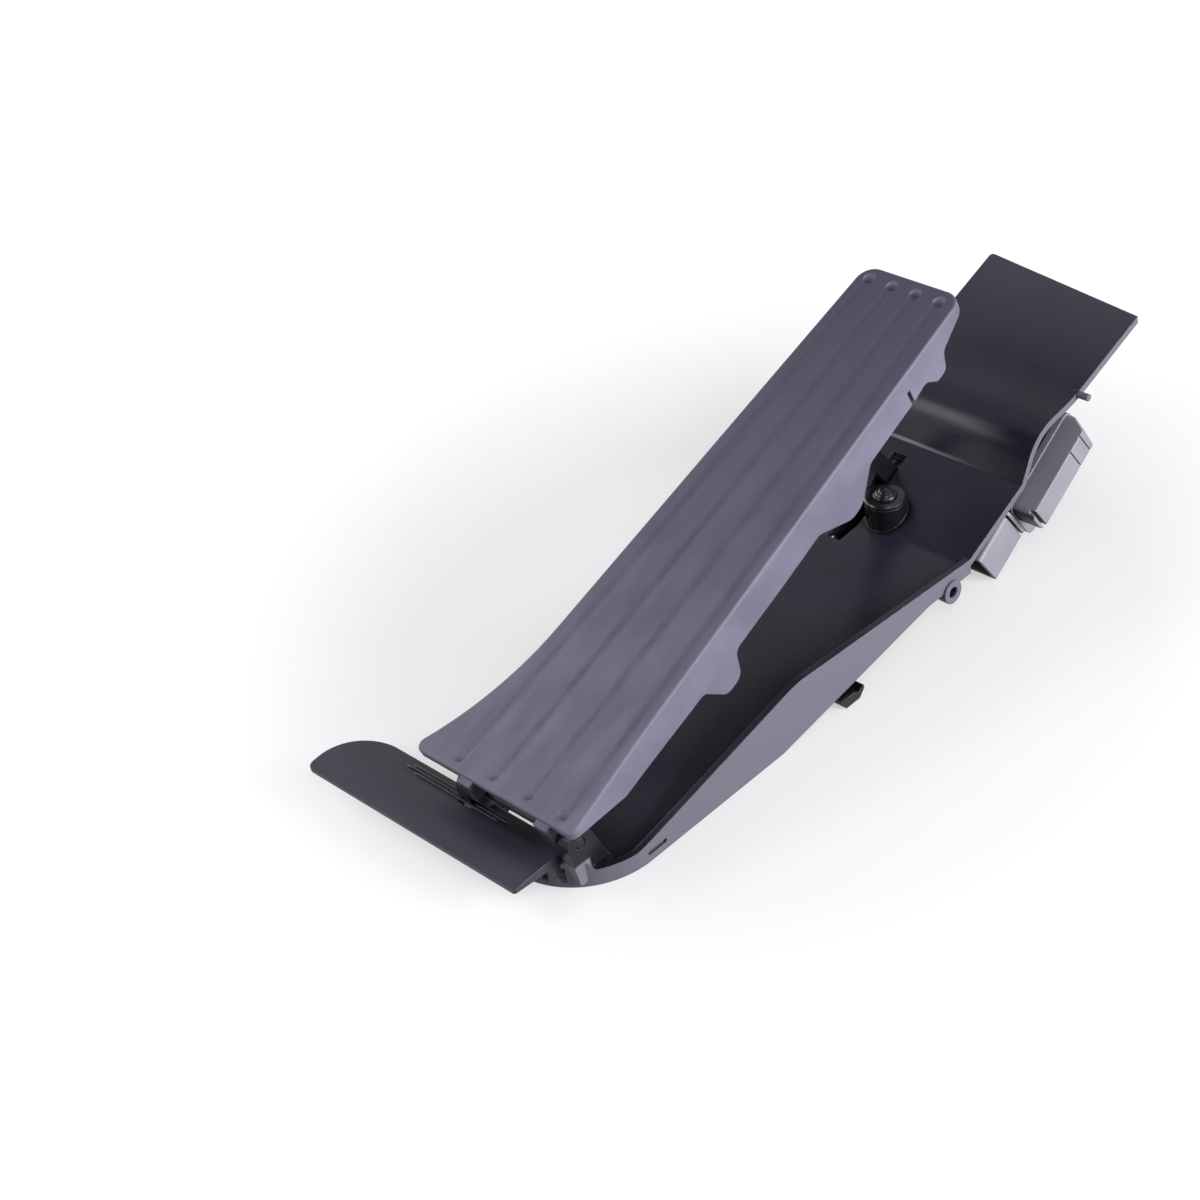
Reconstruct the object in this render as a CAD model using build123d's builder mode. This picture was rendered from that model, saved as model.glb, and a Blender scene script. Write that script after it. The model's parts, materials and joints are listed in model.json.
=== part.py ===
"""Floor-hinged electronic accelerator pedal module, in millimetres.

X points to the right of the driver, Y from the heel towards the toe board and Z up.
The origin lies under the heel, on the floor that the module stands on.
"""

import math
import os

from build123d import *

# Pedal plate, measured along its face (s, from the heel end) and square to it (n)
PEDAL_LENGTH = 231.2
PEDAL_REST_ANGLE = 20.6
PEDAL_TRAVEL = 15.0
FACE_START_Y = -7.0
FACE_START_Z = 26.7
TOP_HALF_WIDTH = 20.8
WAIST_HALF_WIDTH = 27.3
WAIST_S = 64.0
FLARE_LEFT = 44.4
FLARE_RIGHT = 31.0
TOE_S = 5.2
PLATE_THICKNESS = 3.0
SKIRT_WALL = 2.2
TOP_CORNER_RADIUS = 6.5
TOE_CORNER_RADIUS = 3.0
FACE_EDGE_RADIUS = 1.1
SKIRT_DEPTH = 14.0
SKIRT_TOE_DEPTH = 3.4
LOBE_ROOT_SHARE = 0.6
LOBE_ROOT_RADIUS = 3.5
GROOVE_COUNT = 4
GROOVE_CENTRE_X = -0.7
GROOVE_PITCH_TOP = 10.1
GROOVE_PITCH_TOE = 15.9
GROOVE_TOP_S = 226.0
GROOVE_TOE_S = 10.3
GROOVE_DEPTH = 0.45
DIMPLE_RADIUS = 2.7
DIMPLE_DEPTH = 1.3
GROOVE_TOE_RADIUS = 10.0
GROOVE_TOP_RADIUS = 6.0
RIB_WALL = 1.6
RIB_DEPTH = 8.0
RIB_PLACES = [32.0, 64.0, 100.0, 128.0, 208.0]
LONG_RIB_X = 9.0
NOTCH_FROM_TOP = 37.2
NOTCH_WIDTH = 1.6
NOTCH_DEPTH = 7.0
POST_RADIUS = 4.0
# Each lobe of the skirt: root and tip on its heel side, tip and root on its toe side, depth
SKIRT_TOP = [(0.0, 0.26), (7.0, 0.40), (19.0, 0.74), (36.0, 0.92)]
SKIRT_HEEL = [(0.0, 0.97), (36.0, 0.82)]
SKIRT_LOBES = [
    (164.3, 153.7, 145.7, 141.5, 24.2, 4.2),
    (102.0, 80.2, 73.7, 58.5, 23.2, 6.5),
    (32.1, 24.2, 18.9, 16.5, 16.8, 2.6),
]

# Hinge under the heel end of the plate
PIN_S = 8.0
PIN_N = -12.0
PIN_RADIUS = 2.0
PIN_CLEARANCE = 0.05
BUSH_WALL = 1.0
BARREL_RADIUS = 5.0
BARREL_LENGTH = 5.8
EAR_INNER_X = 21.0
EAR_THICKNESS = 5.0
EAR_RADIUS = 5.4
EAR_FOOT = 14.0
EAR_FOOT_SHIFT = 4.0
SIDE_PLAY = 0.4

# Base tray
TRAY_LEFT = -36.0
TRAY_RIGHT = 34.0
HEEL_FRONT_Y = -5.0
HEEL_CORNER_RADIUS = 30.0
HEEL_DECK_Z = 9.6
HEEL_DECK_BACK_Y = 5.4
TRAY_WALL = 2.5
SHEET = 2.6
FLOOR_START_Z = 3.4
RAMP_START_Y = 185.2
RAMP_START_Z = 16.4
CREASE_Y = 218.4
CREASE_Z = 31.3
RAMP_RADIUS = 6.0
CREASE_RADIUS = 1.2
KNEE_Y = 227.5
KNEE_Z = 47.5
KNEE_RADIUS = 20.0
SHELF_Y = 249.0
SHELF_Z = 50.3
SHELF_RADIUS = 60.0
TOE_BOARD_RISE = 18.8
TOE_EDGE_RIGHT_Y = 287.7
TOE_EDGE_LEFT_Y = 294.5
TOE_EDGE_RADIUS = 1.5
WALL_CREST_Y = 98.0
WALL_CREST_Z = 23.2
WALL_CREST_RADIUS = 30.0
WALL_LOW_Z = 6.4
WALL_LOW_Y = 20.0
WALL_END_Y = 188.0
FOOT_END_Y = 88.0
WALL_UNDERCUT_Y = 165.0
WALL_UNDERCUT_Z = 12.0
TRAY_RIBS = [40.0, 75.0]
HEEL_POCKETS = 9
HEEL_POCKET_PITCH = 4.6
HEEL_POCKET_WIDTH = 3.0
HEEL_POCKET_LENGTH = 5.6
HEEL_SLOTS = 3
HEEL_SLOT_WIDTH = 2.6
HEEL_SLOT_LOW_Z = 1.6
HEEL_SLOT_HIGH_Z = 8.0
HEEL_SLOT_START = -82.0
HEEL_SLOT_SWEEP = 36.0
HEEL_OPENING_LEFT = -20.0
HEEL_OPENING_RIGHT = 15.0
HEEL_OPENING_LENGTH = 10.0
WALL_SLOT_Y = 28.3
WALL_SLOT_Z = 3.4
WALL_SLOT_LENGTH = 8.4
WALL_SLOT_WIDTH = 1.6
WALL_SLOT_DEPTH = 1.0

# Heel lip
LIP_LEFT = -83.0
LIP_RIGHT = 19.0
LIP_FRONT_Y = -19.0
LIP_BACK_Y = 5.6
LIP_THICKNESS = 2.4
LIP_CROWN = 0.9
LIP_EDGE = 1.2
LIP_END_RADIUS = 19.0
LIP_TIP_RADIUS = 3.0
LIP_OVERCUT = 1.0

# Sensor housing, in a frame tilted along the step (u up the slope, v square to it)
HOUSING_TILT = 32.0
HOUSING_Y = 233.3
HOUSING_Z = 26.8
HOUSING_FRONT_U = -19.5
HOUSING_REAR_U = 22.0
HOUSING_LOW_V = -12.5
HOUSING_HIGH_V = 8.4
HOUSING_LEFT = -24.0
HOUSING_RIGHT = 29.0
HOUSING_WALL = 2.0
HOUSING_RADIUS = 3.0
PARTITION_X = 14.5
PARTITION = 2.5
GASKET = 1.0
COVER_FLANGE = 2.5
COVER_CAP = 9.5
CAP_LOW_V = -2.7
CAP_INSET = 0.4
CAP_WALL = 1.8
CAP_RADIUS = 3.2
CAP_EDGE_RADIUS = 0.5
CAP_SLANT = 7.5
CAP_SLANT_LENGTH = 4.8
CAP_FLANGE = 1.5
CAP_GROOVE = 1.2
CAP_GROOVE_DEPTH = 2.4
CAP_SEAMS_U = [8.0, 14.6]
PANEL_LINE = 0.6
SEAT_GAP = 0.05

# Lever, shaft and the cam rail that the lever's shoe slides on
LEVER_RATIO = 2.35
LEVER_X = -16.6
LEVER_THICKNESS = 4.4
LEVER_HUB_RADIUS = 6.0
LEVER_ARM_RADIUS = 3.6
SHAFT_V = -1.5
SHAFT_RADIUS = 2.5
ELBOW_REACH = 26.0
ELBOW_DROP = 13.0
SHOE_REST_S = 184.0
SHOE_REST_N = -14.5
SHOE_RADIUS = 4.2
SHOE_WALL = 1.5
SHOE_WIDTH = 5.8
CAM_GAP = 0.55
CAM_WIDTH = 6.0
CAM_END = 4.0
CAM_STEPS = 6
HUB_STEP = 0.5
MAGNET_GAP = 0.6
MAGNET_THICKNESS = 4.0
MAGNET_RADIUS = 6.5
STOP_PAD_WIDTH = 4.4
STOP_PAD_LENGTH = 4.0

# Flat spiral springs about the shaft
SPRING_MAIN_X = -9.0
SPRING_BACKUP_X = 1.0
SPRING_WIDTH = 6.0
SPRING_INNER_RADIUS = 3.1
SPRING_STEP = 0.7
SPRING_HALF_TURNS = 7
SPRING_STRIP = 0.5

# Circuit board with the angle sensor
BOARD_X = 25.0
BOARD = 1.6
BOARD_MARGIN = 1.0
CHIP = 1.6
CHIP_SIDE = 6.0
POST_PEG_RADIUS = 1.8
BOARD_POSTS = [(-14.0, -8.0), (16.0, -8.0), (-14.0, 4.0), (16.0, 4.0)]
LEVER_SLOT_WIDTH = 6.4
LEVER_SLOT_DEPTH = 7.0
WELL_WALL = 1.5
WELL_FLOOR_Z = 0.6
LEVER_SLOT_START_Y = 174.0
LEVER_SLOT_END_Y = 213.4

# Kick-down plunger
KICK_X = -6.4
KICK_Y = 192.0
KICK_CUP_RADIUS = 6.2
KICK_BORE_RADIUS = 5.4
KICK_STEM_RADIUS = 4.3
KICK_FLOOR_Z = 9.0
KICK_RIM_Z = 25.4
KICK_FLANGE = 1.6
KICK_TOP_Z = 30.3
KICK_STROKE = 3.5
KICK_RUNNING_GAP = 0.1
KICK_BOSS_WALL = 1.4
KICK_POST_GAP = 0.5
KICK_LIP = 3.6
KICK_SHOULDER = 4.6
KICK_DOME = 2.6
KICK_SPRING_RADIUS = 2.8
KICK_SPRING_WIRE = 0.45
KICK_SPRING_TURNS = 4
KICK_POCKET_RADIUS = 3.5
KICK_POCKET_DEPTH = 5.0

# Connector on the front of the housing
SOCKET_HALF_U = 9.0
SOCKET_HALF_V = 8.0
SOCKET_U = -31.8
SOCKET_V = 2.2
SOCKET_LEFT = 16.0
SOCKET_RIGHT = 34.0
SOCKET_WALL = 1.5
SOCKET_DEPTH = 13.0
TERMINAL = 0.8
TERMINAL_REACH = 7.0
TERMINAL_PITCH_X = 3.0
TERMINAL_PITCH_V = 5.0
SOCKET_RADIUS = 1.4
NECK_LEFT = 18.0
NECK_RIGHT = 28.8
NECK_HALF_V = 6.0
FLANGE = 1.2

# Fixings
LUG_Y = 177.0
LUG_Z = 10.9
LUG_RADIUS = 4.4
LUG_BORE = 2.1
LUG_PAD = 1.0
CLIP_Y = 120.0
CLIP_RIBS = [-10.0, 25.0]
CLIP_THICKNESS = 3.0
CLIP_HALF_LENGTH = 4.5
CLIP_BARB = 2.6
CLIP_FOOT_Z = 4.0
CLIP_FOOT_REACH = 2.0
PEG_RADIUS = 1.3
PEG_LENGTH = 4.5
PEG_Y = 252.0
SCREW_RADIUS = 1.6
SCREW_HEAD_RADIUS = 3.2
SCREW_HEAD = 2.2
SCREW_BITE = 4.5
BOSS_RADIUS = 3.6
BOSS_REACH = 20.0
TAB_V = 4.0
TAB_THICKNESS = 3.0
TAB_WIDTH = 8.0
TAB_REACH = 4.5

os.makedirs("parts", exist_ok=True)

REST = math.radians(PEDAL_REST_ANGLE)
TRAVEL = math.radians(PEDAL_TRAVEL)
ALONG = (math.cos(REST), math.sin(REST))
OUT = (-math.sin(REST), math.cos(REST))
TILT = math.radians(HOUSING_TILT)
ACROSS = (1, 0, 0)
UP = (0, 0, 1)


def on_plate(s, n):
    """Y and Z of a point given along and square to the pedal face at rest."""
    y = FACE_START_Y + s * ALONG[0] + n * OUT[0]
    z = FACE_START_Z + s * ALONG[1] + n * OUT[1]
    return y, z


def to_plate(y, z):
    """Place along and square to the pedal face of a Y and Z at rest."""
    dy = y - FACE_START_Y
    dz = z - FACE_START_Z
    return dy * ALONG[0] + dz * ALONG[1], dy * OUT[0] + dz * OUT[1]


def turned(point, pivot, angle):
    """A Y and Z turned about a pivot, where a positive angle lifts the +Y end."""
    dy = point[0] - pivot[0]
    dz = point[1] - pivot[1]
    y = pivot[0] + dy * math.cos(angle) - dz * math.sin(angle)
    z = pivot[1] + dy * math.sin(angle) + dz * math.cos(angle)
    return y, z


def in_housing(u, v):
    """Y and Z of a point in the tilted frame of the sensor housing."""
    y = HOUSING_Y + u * math.cos(TILT) - v * math.sin(TILT)
    z = HOUSING_Z + u * math.sin(TILT) + v * math.cos(TILT)
    return y, z


def side_plane(x):
    """Sketch plane with local axes Y and Z, extruding towards +X."""
    return Plane(origin=(x, 0, 0), x_dir=(0, 1, 0), z_dir=(1, 0, 0))


def plate_side_plane(x):
    """Sketch plane with local axes s and n of the pedal plate, extruding towards +X."""
    return Plane(
        origin=(x, FACE_START_Y, FACE_START_Z),
        x_dir=(0, *ALONG),
        z_dir=(1, 0, 0),
    )


def plate_plane(n):
    """Sketch plane parallel to the pedal face, with local axes X and s."""
    y, z = on_plate(0, n)
    return Plane(origin=(0, y, z), x_dir=(1, 0, 0), z_dir=(0, *OUT))


def housing_plane(x):
    """Sketch plane with local axes u and v of the sensor housing, extruding towards +X."""
    return Plane(
        origin=(x, HOUSING_Y, HOUSING_Z),
        x_dir=(0, math.cos(TILT), math.sin(TILT)),
        z_dir=(1, 0, 0),
    )


def slope_plane(v):
    """Sketch plane along the housing's slope, with local axes X and u, facing up from it."""
    y, z = in_housing(0, v)
    return Plane(origin=(0, y, z), x_dir=(1, 0, 0), z_dir=(0, -math.sin(TILT), math.cos(TILT)))


def mouth_plane(u):
    """Sketch plane square to the housing's slope, with local axes X and v, facing the connector's mouth."""
    y, z = in_housing(u, 0)
    return Plane(origin=(0, y, z), x_dir=(1, 0, 0), z_dir=(0, -math.cos(TILT), -math.sin(TILT)))


def save(builder, name):
    """Label a finished piece and write it."""
    builder.part.label = name
    export_step(builder.part, f"parts/{name}.step")


PIN_Y, PIN_Z = on_plate(PIN_S, PIN_N)
BARREL_X = EAR_INNER_X - SIDE_PLAY - BARREL_LENGTH
EAR_OUTER_X = EAR_INNER_X + EAR_THICKNESS
SHAFT_Y, SHAFT_Z = in_housing(0, SHAFT_V)
HOUSING_MIDDLE_U = (HOUSING_FRONT_U + HOUSING_REAR_U) / 2
FLOOR_SLOPE = (RAMP_START_Z - FLOOR_START_Z) / (RAMP_START_Y - HEEL_DECK_BACK_Y)
TOE_REACH_Y = TOE_EDGE_LEFT_Y + 4.0
TOE_REACH_Z = SHELF_Z + (TOE_REACH_Y - SHELF_Y) * math.tan(math.radians(TOE_BOARD_RISE))
RAMP_SLOPE = (CREASE_Z - RAMP_START_Z) / (CREASE_Y - RAMP_START_Y)
SOCKET_X = (SOCKET_LEFT + SOCKET_RIGHT) / 2
TERMINALS = [
    (SOCKET_X + column * TERMINAL_PITCH_X, SOCKET_V + row * TERMINAL_PITCH_V)
    for column in (-1, 0, 1)
    for row in (-0.5, 0.5)
]
INNER_RIGHT = TRAY_RIGHT - TRAY_WALL
INNER_LEFT = TRAY_LEFT + TRAY_WALL
SCREWS = [
    (-14.0, HOUSING_REAR_U + TAB_REACH),
    (8.0, HOUSING_REAR_U + TAB_REACH),
    (4.0, HOUSING_FRONT_U - TAB_REACH),
]


def floor_z(y):
    """Height of the tray floor's upper face ahead of the ramp."""
    return FLOOR_START_Z + FLOOR_SLOPE * (y - HEEL_DECK_BACK_Y)


def ramp_z(y):
    """Height of the ramp's upper face."""
    return RAMP_START_Z + RAMP_SLOPE * (y - RAMP_START_Y)


# Base tray: heel block, floor, ramp, step and toe plate in one moulding
with BuildSketch() as tray_plan:
    with BuildLine():
        Polyline(
            (TRAY_LEFT, HEEL_FRONT_Y),
            (TRAY_RIGHT, HEEL_FRONT_Y),
            (TRAY_RIGHT, TOE_EDGE_RIGHT_Y),
            (TRAY_LEFT, TOE_EDGE_LEFT_Y),
            close=True,
        )
    make_face()
    fillet(tray_plan.vertices().group_by(Axis.Y)[0], HEEL_CORNER_RADIUS)
    fillet(tray_plan.vertices().group_by(Axis.Y)[-1], TOE_EDGE_RADIUS)


def sheet_path():
    """Upper edge of the tray's sheet, from the heel to the toe board."""
    return FilletPolyline(
        (HEEL_DECK_BACK_Y, FLOOR_START_Z),
        (RAMP_START_Y, RAMP_START_Z),
        (CREASE_Y, CREASE_Z),
        (KNEE_Y, KNEE_Z),
        (SHELF_Y, SHELF_Z),
        (TOE_REACH_Y, TOE_REACH_Z),
        radius=[RAMP_RADIUS, CREASE_RADIUS, KNEE_RADIUS, SHELF_RADIUS],
    )


with BuildSketch(side_plane(TRAY_LEFT)) as sheet_profile:
    with BuildLine():
        sheet_path()
        offset(amount=SHEET, side=Side.RIGHT, mode=Mode.ADD)
    make_face()

with BuildSketch(side_plane(TRAY_LEFT)) as wall_profile:
    with BuildLine():
        Polyline(
            (HEEL_FRONT_Y, 0),
            (FOOT_END_Y, 0),
            (WALL_UNDERCUT_Y, WALL_UNDERCUT_Z),
            (WALL_END_Y, WALL_UNDERCUT_Z),
            (WALL_END_Y, ramp_z(WALL_END_Y)),
            (WALL_CREST_Y, WALL_CREST_Z),
            (WALL_LOW_Y, WALL_LOW_Z),
            (HEEL_FRONT_Y, WALL_LOW_Z),
            close=True,
        )
    make_face()
    fillet(wall_profile.vertices().sort_by(Axis.Y)[-1], WALL_CREST_RADIUS)

with BuildSketch() as tray_inside:
    add(tray_plan.sketch)
    offset(amount=-TRAY_WALL, mode=Mode.REPLACE)

with BuildPart() as tray_walls:
    extrude(tray_plan.sketch, amount=KNEE_Z, dir=UP)
    extrude(tray_inside.sketch, amount=KNEE_Z, dir=UP, mode=Mode.SUBTRACT)
    extrude(wall_profile.sketch, amount=TRAY_RIGHT - TRAY_LEFT, dir=ACROSS, mode=Mode.INTERSECT)

with BuildSketch(side_plane(TRAY_LEFT)) as under_sheet:
    with BuildLine():
        under_path = sheet_path()
        Polyline(under_path @ 1, (TOE_REACH_Y, 0), (HEEL_DECK_BACK_Y, 0), under_path @ 0)
    make_face()

with BuildPart() as screw_bosses:
    for screw_x, screw_u in SCREWS:
        with BuildSketch(slope_plane(TAB_V)):
            with Locations((screw_x, screw_u)):
                Circle(BOSS_RADIUS)
        extrude(amount=BOSS_REACH)
    extrude(under_sheet.sketch, amount=TRAY_RIGHT - TRAY_LEFT, dir=ACROSS, mode=Mode.INTERSECT)
    for screw_x, screw_u in SCREWS:
        with BuildSketch(slope_plane(TAB_V)):
            with Locations((screw_x, screw_u)):
                Circle(SCREW_RADIUS + SEAT_GAP)
        extrude(amount=SCREW_BITE + SIDE_PLAY, mode=Mode.SUBTRACT)

# Well under the floor that the lever sinks into
HOUSING_NOSE_Y, HOUSING_NOSE_Z = in_housing(HOUSING_FRONT_U - HOUSING_WALL, HOUSING_HIGH_V)
HOUSING_FOOT_Y, HOUSING_FOOT_Z = in_housing(HOUSING_FRONT_U - HOUSING_WALL, HOUSING_LOW_V)
with BuildPart() as lever_well:
    with BuildSketch(side_plane(LEVER_X - LEVER_SLOT_WIDTH / 2 - WELL_WALL)):
        with BuildLine():
            Polyline(
                (LEVER_SLOT_START_Y - WELL_WALL, WELL_FLOOR_Z),
                (HOUSING_FOOT_Y, WELL_FLOOR_Z),
                (HOUSING_FOOT_Y, HOUSING_FOOT_Z),
                (HOUSING_NOSE_Y, HOUSING_NOSE_Z),
                (HOUSING_NOSE_Y, CREASE_Z),
                (LEVER_SLOT_START_Y - WELL_WALL, CREASE_Z),
                close=True,
            )
        make_face()
    extrude(amount=LEVER_SLOT_WIDTH + 2 * WELL_WALL)
    extrude(under_sheet.sketch, amount=TRAY_RIGHT - TRAY_LEFT, dir=ACROSS, mode=Mode.INTERSECT)
    with BuildSketch(Plane.XY.offset(WELL_FLOOR_Z + WELL_WALL)):
        with Locations((LEVER_X, (LEVER_SLOT_START_Y + CREASE_Y + KNEE_Z) / 2)):
            Rectangle(LEVER_SLOT_WIDTH, CREASE_Y + KNEE_Z - LEVER_SLOT_START_Y)
    extrude(amount=CREASE_Z, mode=Mode.SUBTRACT)

with BuildPart() as base_tray:
    extrude(sheet_profile.sketch, amount=TRAY_RIGHT - TRAY_LEFT, dir=ACROSS)
    with BuildSketch(side_plane(TRAY_LEFT)):
        with BuildLine():
            Polyline(
                (HEEL_FRONT_Y, 0),
                (HEEL_DECK_BACK_Y + SHEET, 0),
                (HEEL_DECK_BACK_Y + SHEET, FLOOR_START_Z),
                (HEEL_DECK_BACK_Y, HEEL_DECK_Z),
                (HEEL_FRONT_Y, HEEL_DECK_Z),
                close=True,
            )
        make_face()
    extrude(amount=TRAY_RIGHT - TRAY_LEFT)
    extrude(tray_plan.sketch, amount=TOE_REACH_Z, dir=UP, mode=Mode.INTERSECT)
    add(tray_walls.part)
    for ear_x in (EAR_INNER_X, -EAR_OUTER_X):
        with BuildSketch(side_plane(ear_x)):
            with Locations((PIN_Y, PIN_Z)):
                Circle(EAR_RADIUS)
            with Locations((PIN_Y + EAR_FOOT_SHIFT, FLOOR_START_Z)):
                Rectangle(EAR_FOOT, SHEET)
            make_hull()
        extrude(amount=EAR_THICKNESS)
    with BuildSketch(Plane.XY.offset(KICK_FLOOR_Z)):
        with Locations((KICK_X, KICK_Y)):
            Circle(KICK_CUP_RADIUS + KICK_BOSS_WALL)
    extrude(amount=KICK_RIM_Z - KICK_FLOOR_Z)
    with BuildSketch(side_plane(INNER_RIGHT)):
        with Locations((LUG_Y, LUG_Z)):
            Circle(LUG_RADIUS)
    extrude(amount=TRAY_WALL + LUG_PAD)
    with BuildSketch(side_plane(TRAY_LEFT - LUG_PAD)):
        with Locations((LUG_Y, LUG_Z)):
            Circle(LUG_RADIUS)
    extrude(amount=TRAY_WALL + LUG_PAD)
    # Locating peg on the right edge of the shelf
    with BuildSketch(side_plane(INNER_RIGHT)):
        with Locations((PEG_Y, SHELF_Z)):
            Circle(PEG_RADIUS)
    extrude(amount=TRAY_WALL + PEG_LENGTH)
    # Bosses that take the housing screws, and the lever's well
    add(screw_bosses.part)
    add(lever_well.part)
    # Stiffening ribs under the floor
    for rib_y in TRAY_RIBS + [CLIP_Y + step for step in CLIP_RIBS]:
        rib_low = max(0.0, (rib_y - FOOT_END_Y) * WALL_UNDERCUT_Z / (WALL_UNDERCUT_Y - FOOT_END_Y))
        rib_high = floor_z(rib_y) - SHEET / 2
        with BuildSketch(Plane.XY.offset(rib_low)):
            with Locations(((TRAY_LEFT + TRAY_RIGHT) / 2, rib_y)):
                Rectangle(TRAY_RIGHT - TRAY_LEFT - TRAY_WALL, RIB_WALL)
        extrude(amount=rib_high - rib_low)
    # Pockets that leave ribs in the heel block, open upwards under the lip
    with BuildSketch(Plane.XY.offset(FLOOR_START_Z)):
        with Locations((0, HEEL_DECK_BACK_Y - HEEL_POCKET_LENGTH / 2 - RIB_WALL)):
            with GridLocations(HEEL_POCKET_PITCH, 1, HEEL_POCKETS, 1):
                Rectangle(HEEL_POCKET_WIDTH, HEEL_POCKET_LENGTH)
    extrude(amount=HEEL_DECK_Z, mode=Mode.SUBTRACT)
    # Slots that leave ribs in the curved right end of the heel block
    with BuildSketch(Plane.XY.offset(HEEL_SLOT_LOW_Z)):
        with Locations((TRAY_RIGHT - HEEL_CORNER_RADIUS, HEEL_FRONT_Y + HEEL_CORNER_RADIUS)):
            with PolarLocations(HEEL_CORNER_RADIUS, HEEL_SLOTS, HEEL_SLOT_START, HEEL_SLOT_SWEEP):
                Rectangle(2 * TRAY_WALL, HEEL_SLOT_WIDTH)
    extrude(amount=HEEL_SLOT_HIGH_Z - HEEL_SLOT_LOW_Z, mode=Mode.SUBTRACT)
    # Opening between the hinge ears
    with BuildSketch():
        with Locations(
            (
                (HEEL_OPENING_LEFT + HEEL_OPENING_RIGHT) / 2,
                HEEL_DECK_BACK_Y + SHEET + SIDE_PLAY + HEEL_OPENING_LENGTH / 2,
            )
        ):
            Rectangle(HEEL_OPENING_RIGHT - HEEL_OPENING_LEFT, HEEL_OPENING_LENGTH)
    extrude(amount=HEEL_DECK_Z, mode=Mode.SUBTRACT)
    # Slot for the lever through floor and ramp, down into its well
    with BuildSketch(Plane.XY.offset(WELL_FLOOR_Z + WELL_WALL)):
        with Locations((LEVER_X, (LEVER_SLOT_START_Y + LEVER_SLOT_END_Y) / 2)):
            Rectangle(LEVER_SLOT_WIDTH, LEVER_SLOT_END_Y - LEVER_SLOT_START_Y)
    extrude(amount=CREASE_Z, mode=Mode.SUBTRACT)
    with BuildSketch(Plane.XY.offset(KICK_FLOOR_Z)):
        with Locations((KICK_X, KICK_Y)):
            Circle(KICK_CUP_RADIUS + SEAT_GAP)
    extrude(amount=CREASE_Z, mode=Mode.SUBTRACT)
    with BuildSketch(Plane.XY.offset(KICK_RIM_Z)):
        with Locations((KICK_X, KICK_Y)):
            Circle(KICK_CUP_RADIUS + KICK_BOSS_WALL + SIDE_PLAY)
    extrude(amount=CREASE_Z, mode=Mode.SUBTRACT)
    with BuildSketch(side_plane(-EAR_OUTER_X)):
        with Locations((PIN_Y, PIN_Z)):
            Circle(PIN_RADIUS + PIN_CLEARANCE)
    extrude(amount=2 * EAR_OUTER_X, mode=Mode.SUBTRACT)
    with BuildSketch(side_plane(TRAY_LEFT - LUG_PAD)):
        with Locations((LUG_Y, LUG_Z)):
            Circle(LUG_BORE)
    extrude(amount=TRAY_RIGHT - TRAY_LEFT + 2 * LUG_PAD, mode=Mode.SUBTRACT)
    # Shallow slot in the outer face of the right wall
    with BuildSketch(side_plane(TRAY_RIGHT - WALL_SLOT_DEPTH)):
        with Locations((WALL_SLOT_Y, WALL_SLOT_Z)):
            SlotOverall(WALL_SLOT_LENGTH, WALL_SLOT_WIDTH)
    extrude(amount=WALL_SLOT_DEPTH, mode=Mode.SUBTRACT)
save(base_tray, "base_tray")

# Heel lip: a crowned strip that lies on the heel block and reaches out to the left
with BuildSketch() as lip_plan:
    with BuildLine():
        Polyline(
            (LIP_LEFT, LIP_FRONT_Y),
            (LIP_RIGHT, LIP_FRONT_Y),
            (LIP_RIGHT, LIP_BACK_Y),
            (LIP_LEFT, LIP_BACK_Y),
            close=True,
        )
    make_face()
    fillet(lip_plan.vertices().group_by(Axis.X)[0].sort_by(Axis.Y)[-1], LIP_END_RADIUS)
    fillet(lip_plan.vertices().sort_by(Axis.Y)[0:2].sort_by(Axis.X)[0], LIP_TIP_RADIUS)
    fillet(lip_plan.vertices().group_by(Axis.X)[-1], FACE_EDGE_RADIUS)

LIP_MID_Y = (LIP_BACK_Y + LIP_FRONT_Y) / 2
LIP_CROWN_Z = HEEL_DECK_Z + LIP_THICKNESS + LIP_CROWN
LIP_CUT_HALF = LIP_BACK_Y - LIP_MID_Y + LIP_OVERCUT
LIP_CUT_DROP = LIP_CROWN * (LIP_CUT_HALF / (LIP_BACK_Y - LIP_MID_Y)) ** 2
with BuildPart() as heel_lip:
    with BuildSketch(side_plane(LIP_LEFT - LIP_OVERCUT)):
        with BuildLine():
            lip_top = ThreePointArc(
                (LIP_MID_Y + LIP_CUT_HALF, LIP_CROWN_Z - LIP_CUT_DROP),
                (LIP_MID_Y, LIP_CROWN_Z),
                (LIP_MID_Y - LIP_CUT_HALF, LIP_CROWN_Z - LIP_CUT_DROP),
            )
            Polyline(
                lip_top @ 1,
                (LIP_MID_Y - LIP_CUT_HALF, HEEL_DECK_Z + LIP_THICKNESS - LIP_EDGE),
                (HEEL_FRONT_Y, HEEL_DECK_Z),
                (LIP_MID_Y + LIP_CUT_HALF, HEEL_DECK_Z),
                lip_top @ 0,
            )
        make_face()
    extrude(amount=LIP_RIGHT - LIP_LEFT + 2 * LIP_OVERCUT)
    extrude(lip_plan.sketch, amount=2 * HEEL_DECK_Z, dir=UP, mode=Mode.INTERSECT)
    # Notch round the left hinge ear
    with BuildSketch():
        with Locations((-(EAR_INNER_X + EAR_OUTER_X) / 2, LIP_BACK_Y)):
            Rectangle(EAR_THICKNESS + 2 * SIDE_PLAY, 2 * (LIP_BACK_Y - PIN_Y + EAR_RADIUS + SIDE_PLAY))
    extrude(amount=2 * HEEL_DECK_Z, mode=Mode.SUBTRACT)
save(heel_lip, "heel_lip")

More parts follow.
